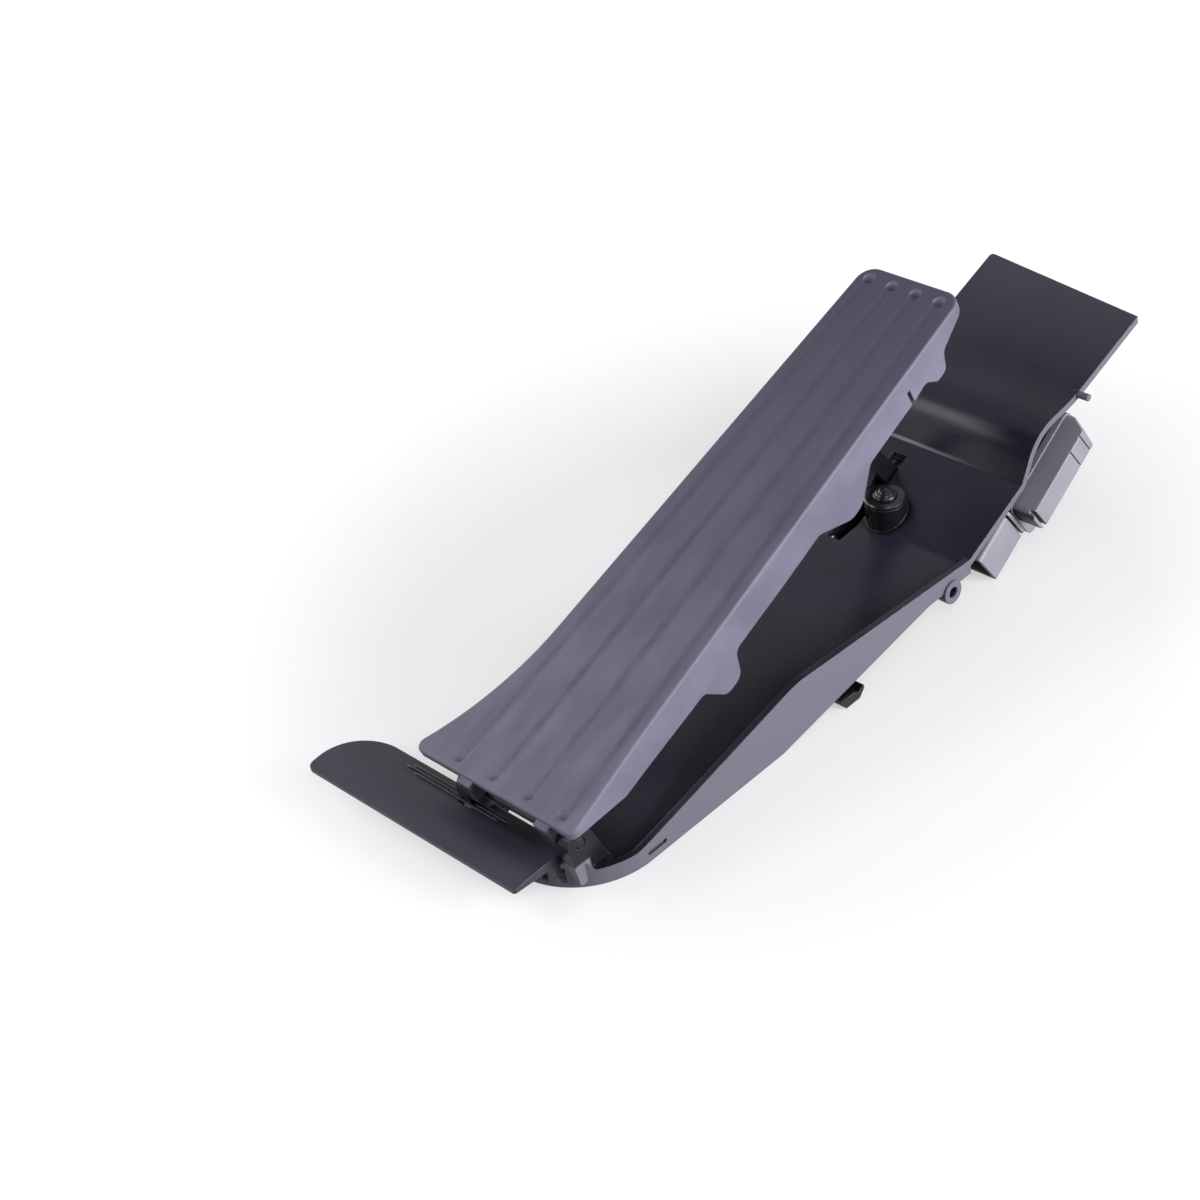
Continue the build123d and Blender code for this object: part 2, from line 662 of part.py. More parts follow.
# Hinge pin through both ears
with BuildPart() as hinge_pin:
    with BuildSketch(side_plane(-EAR_OUTER_X)):
        with Locations((PIN_Y, PIN_Z)):
            Circle(PIN_RADIUS)
    extrude(amount=2 * EAR_OUTER_X)
    chamfer(hinge_pin.edges().filter_by(GeomType.CIRCLE), PIN_RADIUS / 5)
save(hinge_pin, "hinge_pin")

BUSH_BORE = PIN_RADIUS + PIN_CLEARANCE
BUSH_OUTER = BUSH_BORE + BUSH_WALL
for side, bush_x in (("left", -BARREL_X - BARREL_LENGTH), ("right", BARREL_X)):
    with BuildPart() as hinge_bush:
        with BuildSketch(side_plane(bush_x)):
            with Locations((PIN_Y, PIN_Z)):
                Circle(BUSH_OUTER)
                Circle(BUSH_BORE, mode=Mode.SUBTRACT)
        extrude(amount=BARREL_LENGTH)
    save(hinge_bush, f"{side}_hinge_bush")

# Path of the lever's shoe, seen from the pedal
ELBOW_Y, ELBOW_Z = turned((SHAFT_Y - ELBOW_REACH, SHAFT_Z), (SHAFT_Y, SHAFT_Z), math.radians(ELBOW_DROP))
TIP_Y, TIP_Z = on_plate(SHOE_REST_S, SHOE_REST_N)


def shoe_on_plate(press):
    """Shoe centre along and square to the pedal face when the pedal is pressed by an angle."""
    tip = turned((TIP_Y, TIP_Z), (SHAFT_Y, SHAFT_Z), LEVER_RATIO * press)
    return to_plate(*turned(tip, (PIN_Y, PIN_Z), press))


def cam_point(press):
    """Point of the cam rail that the shoe faces when the pedal is pressed by an angle."""
    s, n = shoe_on_plate(press)
    ahead = shoe_on_plate(press + TRAVEL / 50)
    behind = shoe_on_plate(press - TRAVEL / 50)
    run = math.hypot(ahead[0] - behind[0], ahead[1] - behind[1])
    reach = (SHOE_RADIUS + CAM_GAP) / run
    return s + (ahead[1] - behind[1]) * reach, n - (ahead[0] - behind[0]) * reach


# Pedal plate: fluted face, lobed skirt, ribs and hinge barrels in one moulding
with BuildSketch() as plate_outline:
    with BuildLine():
        right_side = Line((TOP_HALF_WIDTH, PEDAL_LENGTH), (WAIST_HALF_WIDTH, WAIST_S))
        right_flare = TangentArc(right_side @ 1, (FLARE_RIGHT, TOE_S), tangent=right_side % 1)
        left_side = Line((-TOP_HALF_WIDTH, PEDAL_LENGTH), (-WAIST_HALF_WIDTH, WAIST_S))
        left_flare = TangentArc(left_side @ 1, (-FLARE_LEFT, TOE_S), tangent=left_side % 1)
        Line(right_flare @ 1, left_flare @ 1)
        Line(right_side @ 0, left_side @ 0)
    make_face()
    fillet(plate_outline.vertices().group_by(Axis.Y)[-1], TOP_CORNER_RADIUS)
    fillet(plate_outline.vertices().group_by(Axis.Y)[0], TOE_CORNER_RADIUS)

with BuildSketch() as plate_inside:
    add(plate_outline.sketch)
    offset(amount=-SKIRT_WALL, mode=Mode.REPLACE)

with BuildSketch(plate_side_plane(-FLARE_LEFT)) as skirt_profile:
    with BuildLine():
        Polyline(
            (0, -FACE_EDGE_RADIUS),
            (PEDAL_LENGTH, -FACE_EDGE_RADIUS),
            *[(PEDAL_LENGTH - from_top, -share * SKIRT_DEPTH) for from_top, share in SKIRT_TOP],
            (PEDAL_LENGTH / 2, -SKIRT_DEPTH),
            *[(WAIST_S - below, -share * SKIRT_DEPTH) for below, share in SKIRT_HEEL],
            (PIN_S, -SKIRT_TOE_DEPTH),
            (0, -SKIRT_TOE_DEPTH),
            close=True,
        )
    make_face()
    for *corners, depth, tip_radius in SKIRT_LOBES:
        low_root, low_tip, high_tip, high_root = [PEDAL_LENGTH - from_top for from_top in corners]
        with BuildLine():
            tab = FilletPolyline(
                (low_root, -LOBE_ROOT_SHARE * SKIRT_DEPTH),
                (low_tip, -depth),
                (high_tip, -depth),
                (high_root, -LOBE_ROOT_SHARE * SKIRT_DEPTH),
                radius=tip_radius,
            )
            Line(tab @ 1, tab @ 0)
        make_face()
    for *corners, _, _ in SKIRT_LOBES:
        low_root, low_tip, high_tip, high_root = [PEDAL_LENGTH - from_top for from_top in corners]
        for side_start, side_end in ((low_root, low_tip), (high_tip, high_root)):
            roots = skirt_profile.vertices().filter_by(
                lambda corner: side_start < corner.X < side_end and -LOBE_ROOT_RADIUS < corner.Y + SKIRT_DEPTH
            )
            fillet(roots.sort_by(Axis.Y)[-1], LOBE_ROOT_RADIUS)
    with Locations((PEDAL_LENGTH - NOTCH_FROM_TOP, -SKIRT_DEPTH)):
        Rectangle(NOTCH_WIDTH, 2 * NOTCH_DEPTH, mode=Mode.SUBTRACT)

SKIRT_REACH = max(lobe[-2] for lobe in SKIRT_LOBES) + PLATE_THICKNESS
KICK_POINT = turned((KICK_Y, KICK_TOP_Z + KICK_POST_GAP), (PIN_Y, PIN_Z), TRAVEL)
POST_S, POST_N = to_plate(*KICK_POINT)

with BuildPart() as pedal_plate:
    with BuildSketch(plate_plane(-SKIRT_REACH)):
        add(plate_outline.sketch)
        add(plate_inside.sketch, mode=Mode.SUBTRACT)
    extrude(amount=SKIRT_REACH)
    extrude(skirt_profile.sketch, amount=FLARE_LEFT + FLARE_RIGHT, dir=ACROSS, mode=Mode.INTERSECT)
    with BuildSketch(plate_plane(-PLATE_THICKNESS)):
        add(plate_outline.sketch)
    extrude(amount=PLATE_THICKNESS)
    fillet(pedal_plate.faces().sort_by(Axis((0, 0, 0), (0, *OUT)))[-1].edges(), FACE_EDGE_RADIUS)
    with BuildSketch(plate_plane(-RIB_DEPTH)):
        with Locations(*[(0, rib_s) for rib_s in RIB_PLACES]):
            Rectangle(2 * FLARE_LEFT, RIB_WALL)
        with Locations((LONG_RIB_X, PEDAL_LENGTH / 2)):
            Rectangle(RIB_WALL, PEDAL_LENGTH - 4 * TOE_S)
        add(plate_inside.sketch, mode=Mode.INTERSECT)
    extrude(amount=RIB_DEPTH - PLATE_THICKNESS / 2)
    for barrel_x in (BARREL_X, -BARREL_X - BARREL_LENGTH):
        with BuildSketch(plate_side_plane(barrel_x)):
            with Locations((PIN_S, PIN_N)):
                Circle(BARREL_RADIUS)
            with Locations((PIN_S + BARREL_RADIUS / 2, -PLATE_THICKNESS * 0.75)):
                Rectangle(3 * BARREL_RADIUS, PLATE_THICKNESS / 2)
            make_hull()
        extrude(amount=BARREL_LENGTH)
    with BuildSketch(plate_plane(POST_N)):
        with Locations((KICK_X, POST_S)):
            Circle(POST_RADIUS)
    extrude(amount=-POST_N - PLATE_THICKNESS / 2)
    with BuildSketch(side_plane(-EAR_INNER_X)):
        with Locations((PIN_Y, PIN_Z)):
            Circle(BUSH_OUTER + SEAT_GAP)
    extrude(amount=2 * EAR_INNER_X, mode=Mode.SUBTRACT)
    for groove in range(GROOVE_COUNT):
        step = groove - (GROOVE_COUNT - 1) / 2
        ends = []
        for pitch, place, radius in (
            (GROOVE_PITCH_TOE, GROOVE_TOE_S, GROOVE_TOE_RADIUS),
            (GROOVE_PITCH_TOP, GROOVE_TOP_S, GROOVE_TOP_RADIUS),
        ):
            groove_x = GROOVE_CENTRE_X + step * pitch
            ends.append(Vector(groove_x, *on_plate(place, radius - GROOVE_DEPTH)))
            with Locations(ends[-1]):
                Sphere(radius, mode=Mode.SUBTRACT)
            dimple = min(DIMPLE_RADIUS, radius)
            with Locations((groove_x, *on_plate(place, dimple - DIMPLE_DEPTH))):
                Sphere(dimple, mode=Mode.SUBTRACT)
        flute = (ends[1] - ends[0]).normalized()
        with BuildSketch(Plane(origin=ends[0], z_dir=flute)):
            Circle(GROOVE_TOE_RADIUS)
        with BuildSketch(Plane(origin=ends[1], z_dir=flute)):
            Circle(GROOVE_TOP_RADIUS)
        loft(mode=Mode.SUBTRACT)
save(pedal_plate, "pedal_plate")

# Cam rail under the plate, shaped so that the shoe stays against it over the travel
with BuildPart() as cam_rail:
    with BuildSketch(plate_side_plane(LEVER_X - CAM_WIDTH / 2)):
        with BuildLine():
            track = Spline(*[cam_point(TRAVEL * step / CAM_STEPS) for step in range(CAM_STEPS + 1)])
            Polyline(
                track @ 0,
                (track @ 0) - (track % 0) * CAM_END,
                ((track @ 0).X + CAM_END, -PLATE_THICKNESS),
                ((track @ 1).X - CAM_END, -PLATE_THICKNESS),
                (track @ 1) + (track % 1) * CAM_END,
                track @ 1,
            )
        make_face()
    extrude(amount=CAM_WIDTH)
save(cam_rail, "cam_rail")

# Drive lever with its hub on the shaft and a shoe at its tip
TIP_RADIUS = SHOE_RADIUS - SHOE_WALL


def lever_arms(grow):
    """Outline of the two lever arms in Y and Z, grown by a clearance."""
    for start, end in (
        ((SHAFT_Y, SHAFT_Z, LEVER_HUB_RADIUS), (ELBOW_Y, ELBOW_Z, LEVER_ARM_RADIUS)),
        ((ELBOW_Y, ELBOW_Z, LEVER_ARM_RADIUS), (TIP_Y, TIP_Z, TIP_RADIUS)),
    ):
        with BuildSketch(mode=Mode.PRIVATE) as arm:
            for y, z, radius in (start, end):
                with Locations((y, z)):
                    Circle(radius + grow)
            make_hull()
        add(arm.sketch)


with BuildPart() as drive_lever:
    with BuildSketch(side_plane(LEVER_X - LEVER_THICKNESS / 2)):
        lever_arms(0)
    extrude(amount=LEVER_THICKNESS)
    with BuildSketch(side_plane(LEVER_X - LEVER_THICKNESS / 2 - HUB_STEP)):
        with Locations((SHAFT_Y, SHAFT_Z)):
            Circle(LEVER_HUB_RADIUS)
    extrude(amount=LEVER_THICKNESS + 2 * HUB_STEP)
    with BuildSketch(side_plane(LEVER_X - LEVER_THICKNESS)):
        with Locations((SHAFT_Y, SHAFT_Z)):
            Circle(SHAFT_RADIUS + SEAT_GAP)
    extrude(amount=2 * LEVER_THICKNESS, mode=Mode.SUBTRACT)
save(drive_lever, "drive_lever")

with BuildPart() as slide_shoe:
    with BuildSketch(side_plane(LEVER_X - SHOE_WIDTH / 2)):
        with Locations((TIP_Y, TIP_Z)):
            Circle(SHOE_RADIUS)
    extrude(amount=SHOE_WIDTH)
    with BuildSketch(side_plane(LEVER_X - LEVER_THICKNESS / 2 - SEAT_GAP)):
        lever_arms(SEAT_GAP)
    extrude(amount=LEVER_THICKNESS + 2 * SEAT_GAP, mode=Mode.SUBTRACT)
save(slide_shoe, "slide_shoe")

# Shaft, its bushes and the magnet that the sensor reads
CHAMBER_X = PARTITION_X + PARTITION
MAGNET_X = CHAMBER_X + MAGNET_GAP
SHAFT_START_X = HOUSING_LEFT + SIDE_PLAY
SHAFT_END_X = MAGNET_X + MAGNET_THICKNESS
BUSH_SHAFT_BORE = SHAFT_RADIUS + PIN_CLEARANCE
BUSH_SHAFT_OUTER = BUSH_SHAFT_BORE + BUSH_WALL

with BuildPart() as lever_shaft:
    with BuildSketch(side_plane(SHAFT_START_X)):
        with Locations((SHAFT_Y, SHAFT_Z)):
            Circle(SHAFT_RADIUS)
    extrude(amount=SHAFT_END_X - SHAFT_START_X)
    chamfer(lever_shaft.edges().filter_by(GeomType.CIRCLE), SHAFT_RADIUS / 6)
save(lever_shaft, "lever_shaft")

with BuildPart() as rotor_magnet:
    with BuildSketch(side_plane(MAGNET_X)):
        with Locations((SHAFT_Y, SHAFT_Z)):
            Circle(MAGNET_RADIUS)
            Circle(SHAFT_RADIUS + SEAT_GAP, mode=Mode.SUBTRACT)
    extrude(amount=MAGNET_THICKNESS)
save(rotor_magnet, "rotor_magnet")

for name, bush_x, bush_length in (
    ("left_shaft_bush", HOUSING_LEFT, HOUSING_WALL),
    ("right_shaft_bush", PARTITION_X, PARTITION),
):
    with BuildPart() as shaft_bush:
        with BuildSketch(side_plane(bush_x)):
            with Locations((SHAFT_Y, SHAFT_Z)):
                Circle(BUSH_SHAFT_OUTER)
                Circle(BUSH_SHAFT_BORE, mode=Mode.SUBTRACT)
        extrude(amount=bush_length)
    save(shaft_bush, name)

# Two flat spiral springs, wound of half circles about two centres
INNER_LOW_V = HOUSING_LOW_V + HOUSING_WALL
INNER_HIGH_V = HOUSING_HIGH_V - HOUSING_WALL
INNER_LENGTH = HOUSING_REAR_U - HOUSING_FRONT_U - 2 * HOUSING_WALL
for name, spring_x in (("main_return_spring", SPRING_MAIN_X), ("backup_return_spring", SPRING_BACKUP_X)):
    with BuildPart() as return_spring:
        with BuildSketch(housing_plane(spring_x)):
            with BuildLine():
                for half in range(SPRING_HALF_TURNS):
                    radius = SPRING_INNER_RADIUS + half * SPRING_STEP
                    centre = (SPRING_STEP * (half % 2), SHAFT_V)
                    CenterArc(centre, radius, 180 * (half % 2), 180)
                side = -1 if SPRING_HALF_TURNS % 2 else 1
                end_u = SPRING_STEP * ((SPRING_HALF_TURNS - 1) % 2) + side * radius
                Line((end_u, SHAFT_V), (end_u, INNER_LOW_V + SPRING_STRIP / 2))
            trace(line_width=SPRING_STRIP)
        extrude(amount=SPRING_WIDTH)
    save(return_spring, name)

# Sensor housing: a spring chamber open to the tray and a board chamber open to the right
with BuildSketch() as housing_outline:
    with Locations((HOUSING_MIDDLE_U, (HOUSING_LOW_V + HOUSING_HIGH_V) / 2)):
        Rectangle(HOUSING_REAR_U - HOUSING_FRONT_U, HOUSING_HIGH_V - HOUSING_LOW_V)
    fillet(housing_outline.vertices(), HOUSING_RADIUS)

with BuildPart() as sensor_housing:
    with BuildSketch(housing_plane(HOUSING_LEFT)):
        add(housing_outline.sketch)
    extrude(amount=HOUSING_RIGHT - HOUSING_LEFT)
    for screw_x, screw_u in SCREWS:
        with BuildSketch(slope_plane(TAB_V - TAB_THICKNESS)):
            with Locations((screw_x, HOUSING_REAR_U if screw_u > 0 else HOUSING_FRONT_U)):
                Rectangle(TAB_WIDTH, 2 * (TAB_REACH + BOSS_RADIUS))
        extrude(amount=TAB_THICKNESS)
    with BuildSketch(housing_plane(HOUSING_LEFT + HOUSING_WALL)):
        with Locations((HOUSING_MIDDLE_U, (INNER_LOW_V + 2 * HOUSING_HIGH_V) / 2)):
            Rectangle(INNER_LENGTH, 2 * HOUSING_HIGH_V - INNER_LOW_V)
    extrude(amount=PARTITION_X - HOUSING_LEFT - HOUSING_WALL, mode=Mode.SUBTRACT)
    with BuildSketch(housing_plane(CHAMBER_X)):
        with Locations((HOUSING_MIDDLE_U, (INNER_LOW_V + INNER_HIGH_V) / 2)):
            Rectangle(INNER_LENGTH, INNER_HIGH_V - INNER_LOW_V)
    extrude(amount=HOUSING_RIGHT - CHAMBER_X, mode=Mode.SUBTRACT)
    with BuildSketch(housing_plane(LEVER_X - LEVER_SLOT_WIDTH / 2)):
        with Locations((HOUSING_FRONT_U + (LEVER_SLOT_DEPTH - HOUSING_WALL) / 2, 0)):
            Rectangle(LEVER_SLOT_DEPTH + HOUSING_WALL, 2 * INNER_LENGTH)
    extrude(amount=LEVER_SLOT_WIDTH, mode=Mode.SUBTRACT)
    with BuildSketch(housing_plane(HOUSING_LEFT)):
        with Locations((0, SHAFT_V)):
            Circle(BUSH_SHAFT_OUTER + SEAT_GAP)
    extrude(amount=CHAMBER_X - HOUSING_LEFT, mode=Mode.SUBTRACT)
    with BuildSketch(housing_plane(CHAMBER_X)):
        with Locations(*BOARD_POSTS):
            Circle(POST_PEG_RADIUS)
    extrude(amount=BOARD_X - CHAMBER_X)
    with BuildSketch(mouth_plane(HOUSING_FRONT_U + HOUSING_WALL)):
        with Locations(*TERMINALS):
            Rectangle(TERMINAL + 2 * SEAT_GAP, TERMINAL + 2 * SEAT_GAP)
    extrude(amount=HOUSING_WALL, mode=Mode.SUBTRACT)
    for screw_x, screw_u in SCREWS:
        with BuildSketch(slope_plane(TAB_V - TAB_THICKNESS)):
            with Locations((screw_x, screw_u)):
                Circle(SCREW_RADIUS + SEAT_GAP)
        extrude(amount=TAB_THICKNESS, mode=Mode.SUBTRACT)
save(sensor_housing, "sensor_housing")

# Board chamber: circuit board, sensor chip, gasket and cover
with BuildPart() as circuit_board:
    with BuildSketch(housing_plane(BOARD_X)):
        with Locations((HOUSING_MIDDLE_U, (INNER_LOW_V + INNER_HIGH_V) / 2)):
            Rectangle(INNER_LENGTH - 2 * BOARD_MARGIN, INNER_HIGH_V - INNER_LOW_V - 2 * BOARD_MARGIN)
    extrude(amount=BOARD)
save(circuit_board, "circuit_board")

with BuildPart() as angle_sensor:
    with BuildSketch(housing_plane(BOARD_X - CHIP)):
        with Locations((0, SHAFT_V)):
            Rectangle(CHIP_SIDE, CHIP_SIDE)
    extrude(amount=CHIP)
save(angle_sensor, "angle_sensor")

with BuildPart() as cover_gasket:
    with BuildSketch(housing_plane(HOUSING_RIGHT)):
        add(housing_outline.sketch)
        offset(amount=-GASKET / 2, mode=Mode.REPLACE)
        offset(amount=-GASKET / 2 - BOARD_MARGIN, mode=Mode.SUBTRACT)
    extrude(amount=GASKET)
save(cover_gasket, "cover_gasket")

CAP_HEIGHT = HOUSING_HIGH_V - CAP_LOW_V - CAP_INSET
CAP_FRONT_U = HOUSING_FRONT_U + CAP_INSET
CAP_REAR_U = HOUSING_REAR_U - CAP_INSET
CAP_MIDDLE_V = CAP_LOW_V + CAP_HEIGHT / 2
COVER_X = HOUSING_RIGHT + GASKET
CAP_X = COVER_X + COVER_FLANGE + COVER_CAP
GROOVE_FRONT_U = CAP_FRONT_U + CAP_FLANGE
GROOVE_REAR_U = GROOVE_FRONT_U + CAP_GROOVE
CAP_ROOM_FRONT_U = GROOVE_REAR_U + CAP_WALL
CAP_ROOM_REAR_U = CAP_REAR_U - CAP_SLANT_LENGTH - CAP_WALL

with BuildPart() as cover_cap:
    with BuildSketch(housing_plane(COVER_X)):
        with Locations(((CAP_FRONT_U + CAP_REAR_U) / 2, CAP_MIDDLE_V)):
            RectangleRounded(CAP_REAR_U - CAP_FRONT_U, CAP_HEIGHT, CAP_RADIUS)
    extrude(amount=CAP_X - COVER_X)
    with BuildSketch(slope_plane(CAP_LOW_V - CAP_WALL)):
        with BuildLine():
            Polyline(
                (COVER_X - CAP_WALL, CAP_FRONT_U - CAP_WALL),
                (CAP_X, CAP_FRONT_U - CAP_WALL),
                (CAP_X, GROOVE_FRONT_U),
                (CAP_X - CAP_GROOVE_DEPTH, GROOVE_FRONT_U),
                (CAP_X - CAP_GROOVE_DEPTH, GROOVE_REAR_U),
                (CAP_X, GROOVE_REAR_U),
                (CAP_X, CAP_REAR_U - CAP_SLANT_LENGTH),
                (CAP_X - CAP_SLANT, CAP_REAR_U),
                (CAP_X - CAP_SLANT, CAP_REAR_U + CAP_WALL),
                (COVER_X - CAP_WALL, CAP_REAR_U + CAP_WALL),
                close=True,
            )
        make_face()
    extrude(amount=CAP_HEIGHT + 2 * CAP_WALL, mode=Mode.INTERSECT)
    fillet(cover_cap.faces().group_by(Axis.X)[-1].edges(), CAP_EDGE_RADIUS)

with BuildPart() as sensor_cover:
    with BuildSketch(housing_plane(COVER_X)):
        add(housing_outline.sketch)
    extrude(amount=COVER_FLANGE)
    add(cover_cap.part)
    with BuildSketch(housing_plane(COVER_X)):
        with Locations(((CAP_ROOM_FRONT_U + CAP_ROOM_REAR_U) / 2, CAP_MIDDLE_V)):
            Rectangle(CAP_ROOM_REAR_U - CAP_ROOM_FRONT_U, CAP_HEIGHT - 2 * CAP_WALL)
    extrude(amount=CAP_X - COVER_X - CAP_WALL, mode=Mode.SUBTRACT)
    with BuildSketch(housing_plane(CAP_X - PANEL_LINE)):
        for seam_u in CAP_SEAMS_U:
            with Locations((seam_u, CAP_MIDDLE_V)):
                Rectangle(PANEL_LINE, 2 * CAP_HEIGHT)
    extrude(amount=PANEL_LINE, mode=Mode.SUBTRACT)
save(sensor_cover, "sensor_cover")

# Connector: a shroud on a flanged neck, with six terminals
SOCKET_BACK_U = SOCKET_U + SOCKET_HALF_U
MOUTH_U = SOCKET_U - SOCKET_HALF_U
SOCKET_FLOOR_U = MOUTH_U + SOCKET_DEPTH

with BuildPart() as connector_shroud:
    with BuildSketch(mouth_plane(SOCKET_BACK_U)) as shroud_section:
        with Locations((SOCKET_X, SOCKET_V)):
            RectangleRounded(SOCKET_RIGHT - SOCKET_LEFT, 2 * SOCKET_HALF_V, SOCKET_RADIUS)
    extrude(amount=2 * SOCKET_HALF_U)
    with BuildSketch(mouth_plane(HOUSING_FRONT_U)):
        with Locations(((NECK_LEFT + NECK_RIGHT) / 2, SOCKET_V)):
            Rectangle(NECK_RIGHT - NECK_LEFT, 2 * NECK_HALF_V)
    extrude(amount=HOUSING_FRONT_U - SOCKET_BACK_U)
    with BuildSketch(mouth_plane((SOCKET_BACK_U + HOUSING_FRONT_U + FLANGE) / 2)):
        with Locations((SOCKET_X, SOCKET_V)):
            RectangleRounded(SOCKET_RIGHT - SOCKET_LEFT, 2 * SOCKET_HALF_V, SOCKET_RADIUS)
    extrude(amount=FLANGE)
    with BuildSketch(mouth_plane(SOCKET_FLOOR_U)):
        with Locations((SOCKET_X, SOCKET_V)):
            RectangleRounded(
                SOCKET_RIGHT - SOCKET_LEFT - 2 * SOCKET_WALL,
                2 * (SOCKET_HALF_V - SOCKET_WALL),
                SOCKET_RADIUS / 2,
            )
    extrude(amount=SOCKET_DEPTH, mode=Mode.SUBTRACT)
    with BuildSketch(mouth_plane(HOUSING_FRONT_U)):
        with Locations(*TERMINALS):
            Rectangle(TERMINAL + 2 * SEAT_GAP, TERMINAL + 2 * SEAT_GAP)
    extrude(amount=HOUSING_FRONT_U - SOCKET_FLOOR_U, mode=Mode.SUBTRACT)
save(connector_shroud, "connector_shroud")

with BuildPart() as terminal_pins:
    with BuildSketch(mouth_plane(HOUSING_FRONT_U + HOUSING_WALL)):
        with Locations(*TERMINALS):
            Rectangle(TERMINAL, TERMINAL)
    extrude(amount=HOUSING_FRONT_U + HOUSING_WALL - SOCKET_FLOOR_U + TERMINAL_REACH)
save(terminal_pins, "terminal_pins")

# Screws that hold the housing's tabs to the tray
with BuildPart() as housing_screws:
    with BuildSketch(slope_plane(TAB_V - TAB_THICKNESS - SCREW_HEAD)):
        with Locations(*SCREWS):
            Circle(SCREW_HEAD_RADIUS)
            RegularPolygon(SCREW_RADIUS, 6, mode=Mode.SUBTRACT)
    extrude(amount=SCREW_HEAD / 2)
    with BuildSketch(slope_plane(TAB_V - TAB_THICKNESS - SCREW_HEAD / 2)):
        with Locations(*SCREWS):
            Circle(SCREW_HEAD_RADIUS)
    extrude(amount=SCREW_HEAD / 2)
    with BuildSketch(slope_plane(TAB_V - TAB_THICKNESS)):
        with Locations(*SCREWS):
            Circle(SCREW_RADIUS)
    extrude(amount=TAB_THICKNESS + SCREW_BITE)
save(housing_screws, "housing_screws")

# Hooked clips that hold the tray to the floor
CLIP_TOP_Z = floor_z(CLIP_Y - CLIP_HALF_LENGTH) - SHEET - SIDE_PLAY
CLIP_FOOT = CLIP_THICKNESS + TRAY_WALL + CLIP_FOOT_REACH
for name, plate_x, foot_x in (
    ("left_floor_clip", INNER_LEFT, TRAY_LEFT - CLIP_FOOT_REACH),
    ("right_floor_clip", INNER_RIGHT - CLIP_THICKNESS, INNER_RIGHT - CLIP_THICKNESS),
):
    with BuildPart() as floor_clip:
        with BuildSketch(side_plane(plate_x)):
            with Locations((CLIP_Y, (CLIP_TOP_Z + CLIP_BARB) / 2)):
                Rectangle(2 * CLIP_HALF_LENGTH, CLIP_TOP_Z - CLIP_BARB)
        extrude(amount=CLIP_THICKNESS)
        with BuildSketch(side_plane(foot_x)):
            with BuildLine():
                Polyline(
                    (CLIP_Y - CLIP_HALF_LENGTH, CLIP_FOOT_Z),
                    (CLIP_Y - CLIP_HALF_LENGTH, CLIP_BARB),
                    (CLIP_Y - CLIP_HALF_LENGTH / 2, 0),
                    (CLIP_Y + CLIP_HALF_LENGTH, 0),
                    (CLIP_Y + CLIP_HALF_LENGTH + CLIP_BARB, CLIP_BARB),
                    (CLIP_Y + CLIP_HALF_LENGTH + CLIP_BARB, CLIP_FOOT_Z),
                    (CLIP_Y + CLIP_HALF_LENGTH, CLIP_FOOT_Z - CLIP_BARB / 2),
                    (CLIP_Y + CLIP_HALF_LENGTH / 2, CLIP_FOOT_Z),
                    close=True,
                )
            make_face()
        extrude(amount=CLIP_FOOT)
    save(floor_clip, name)

# Rubber stop under the ramp that the lever comes to rest below
RAMP_SHEET = SHEET * math.hypot(1, RAMP_SLOPE)


def lever_top_z(y):
    """Height of the lower lever arm's upper edge at rest."""
    share = (SHAFT_Y - y) / (SHAFT_Y - ELBOW_Y)
    radius = LEVER_HUB_RADIUS + share * (LEVER_ARM_RADIUS - LEVER_HUB_RADIUS)
    middle = SHAFT_Z + share * (ELBOW_Z - SHAFT_Z)
    return middle + radius / math.cos(math.radians(ELBOW_DROP))


STOP_START_Y = LEVER_SLOT_END_Y + SIDE_PLAY
STOP_END_Y = STOP_START_Y + STOP_PAD_LENGTH
with BuildPart() as rest_stop_pad:
    with BuildSketch(side_plane(LEVER_X - STOP_PAD_WIDTH / 2)):
        with BuildLine():
            Polyline(
                (STOP_START_Y, ramp_z(STOP_START_Y) - RAMP_SHEET),
                (STOP_END_Y, ramp_z(STOP_END_Y) - RAMP_SHEET),
                (STOP_END_Y, lever_top_z(STOP_END_Y) + SIDE_PLAY),
                (STOP_START_Y, lever_top_z(STOP_START_Y) + SIDE_PLAY),
                close=True,
            )
        make_face()
    extrude(amount=STOP_PAD_WIDTH)
save(rest_stop_pad, "rest_stop_pad")

# Kick-down: a cup in the ramp, with a sprung plunger that the pedal's post nears at full travel
KICK_AXIS = Plane(origin=(KICK_X, KICK_Y, 0), x_dir=(1, 0, 0), z_dir=(0, -1, 0))
CUP_FLOOR_Z = KICK_FLOOR_Z + KICK_FLANGE
CUP_TOP_Z = KICK_RIM_Z + KICK_FLANGE
CUP_LIP_Z = CUP_TOP_Z - KICK_LIP
SHOULDER_TOP_Z = CUP_LIP_Z - SIDE_PLAY
SHOULDER_LOW_Z = SHOULDER_TOP_Z - KICK_SHOULDER

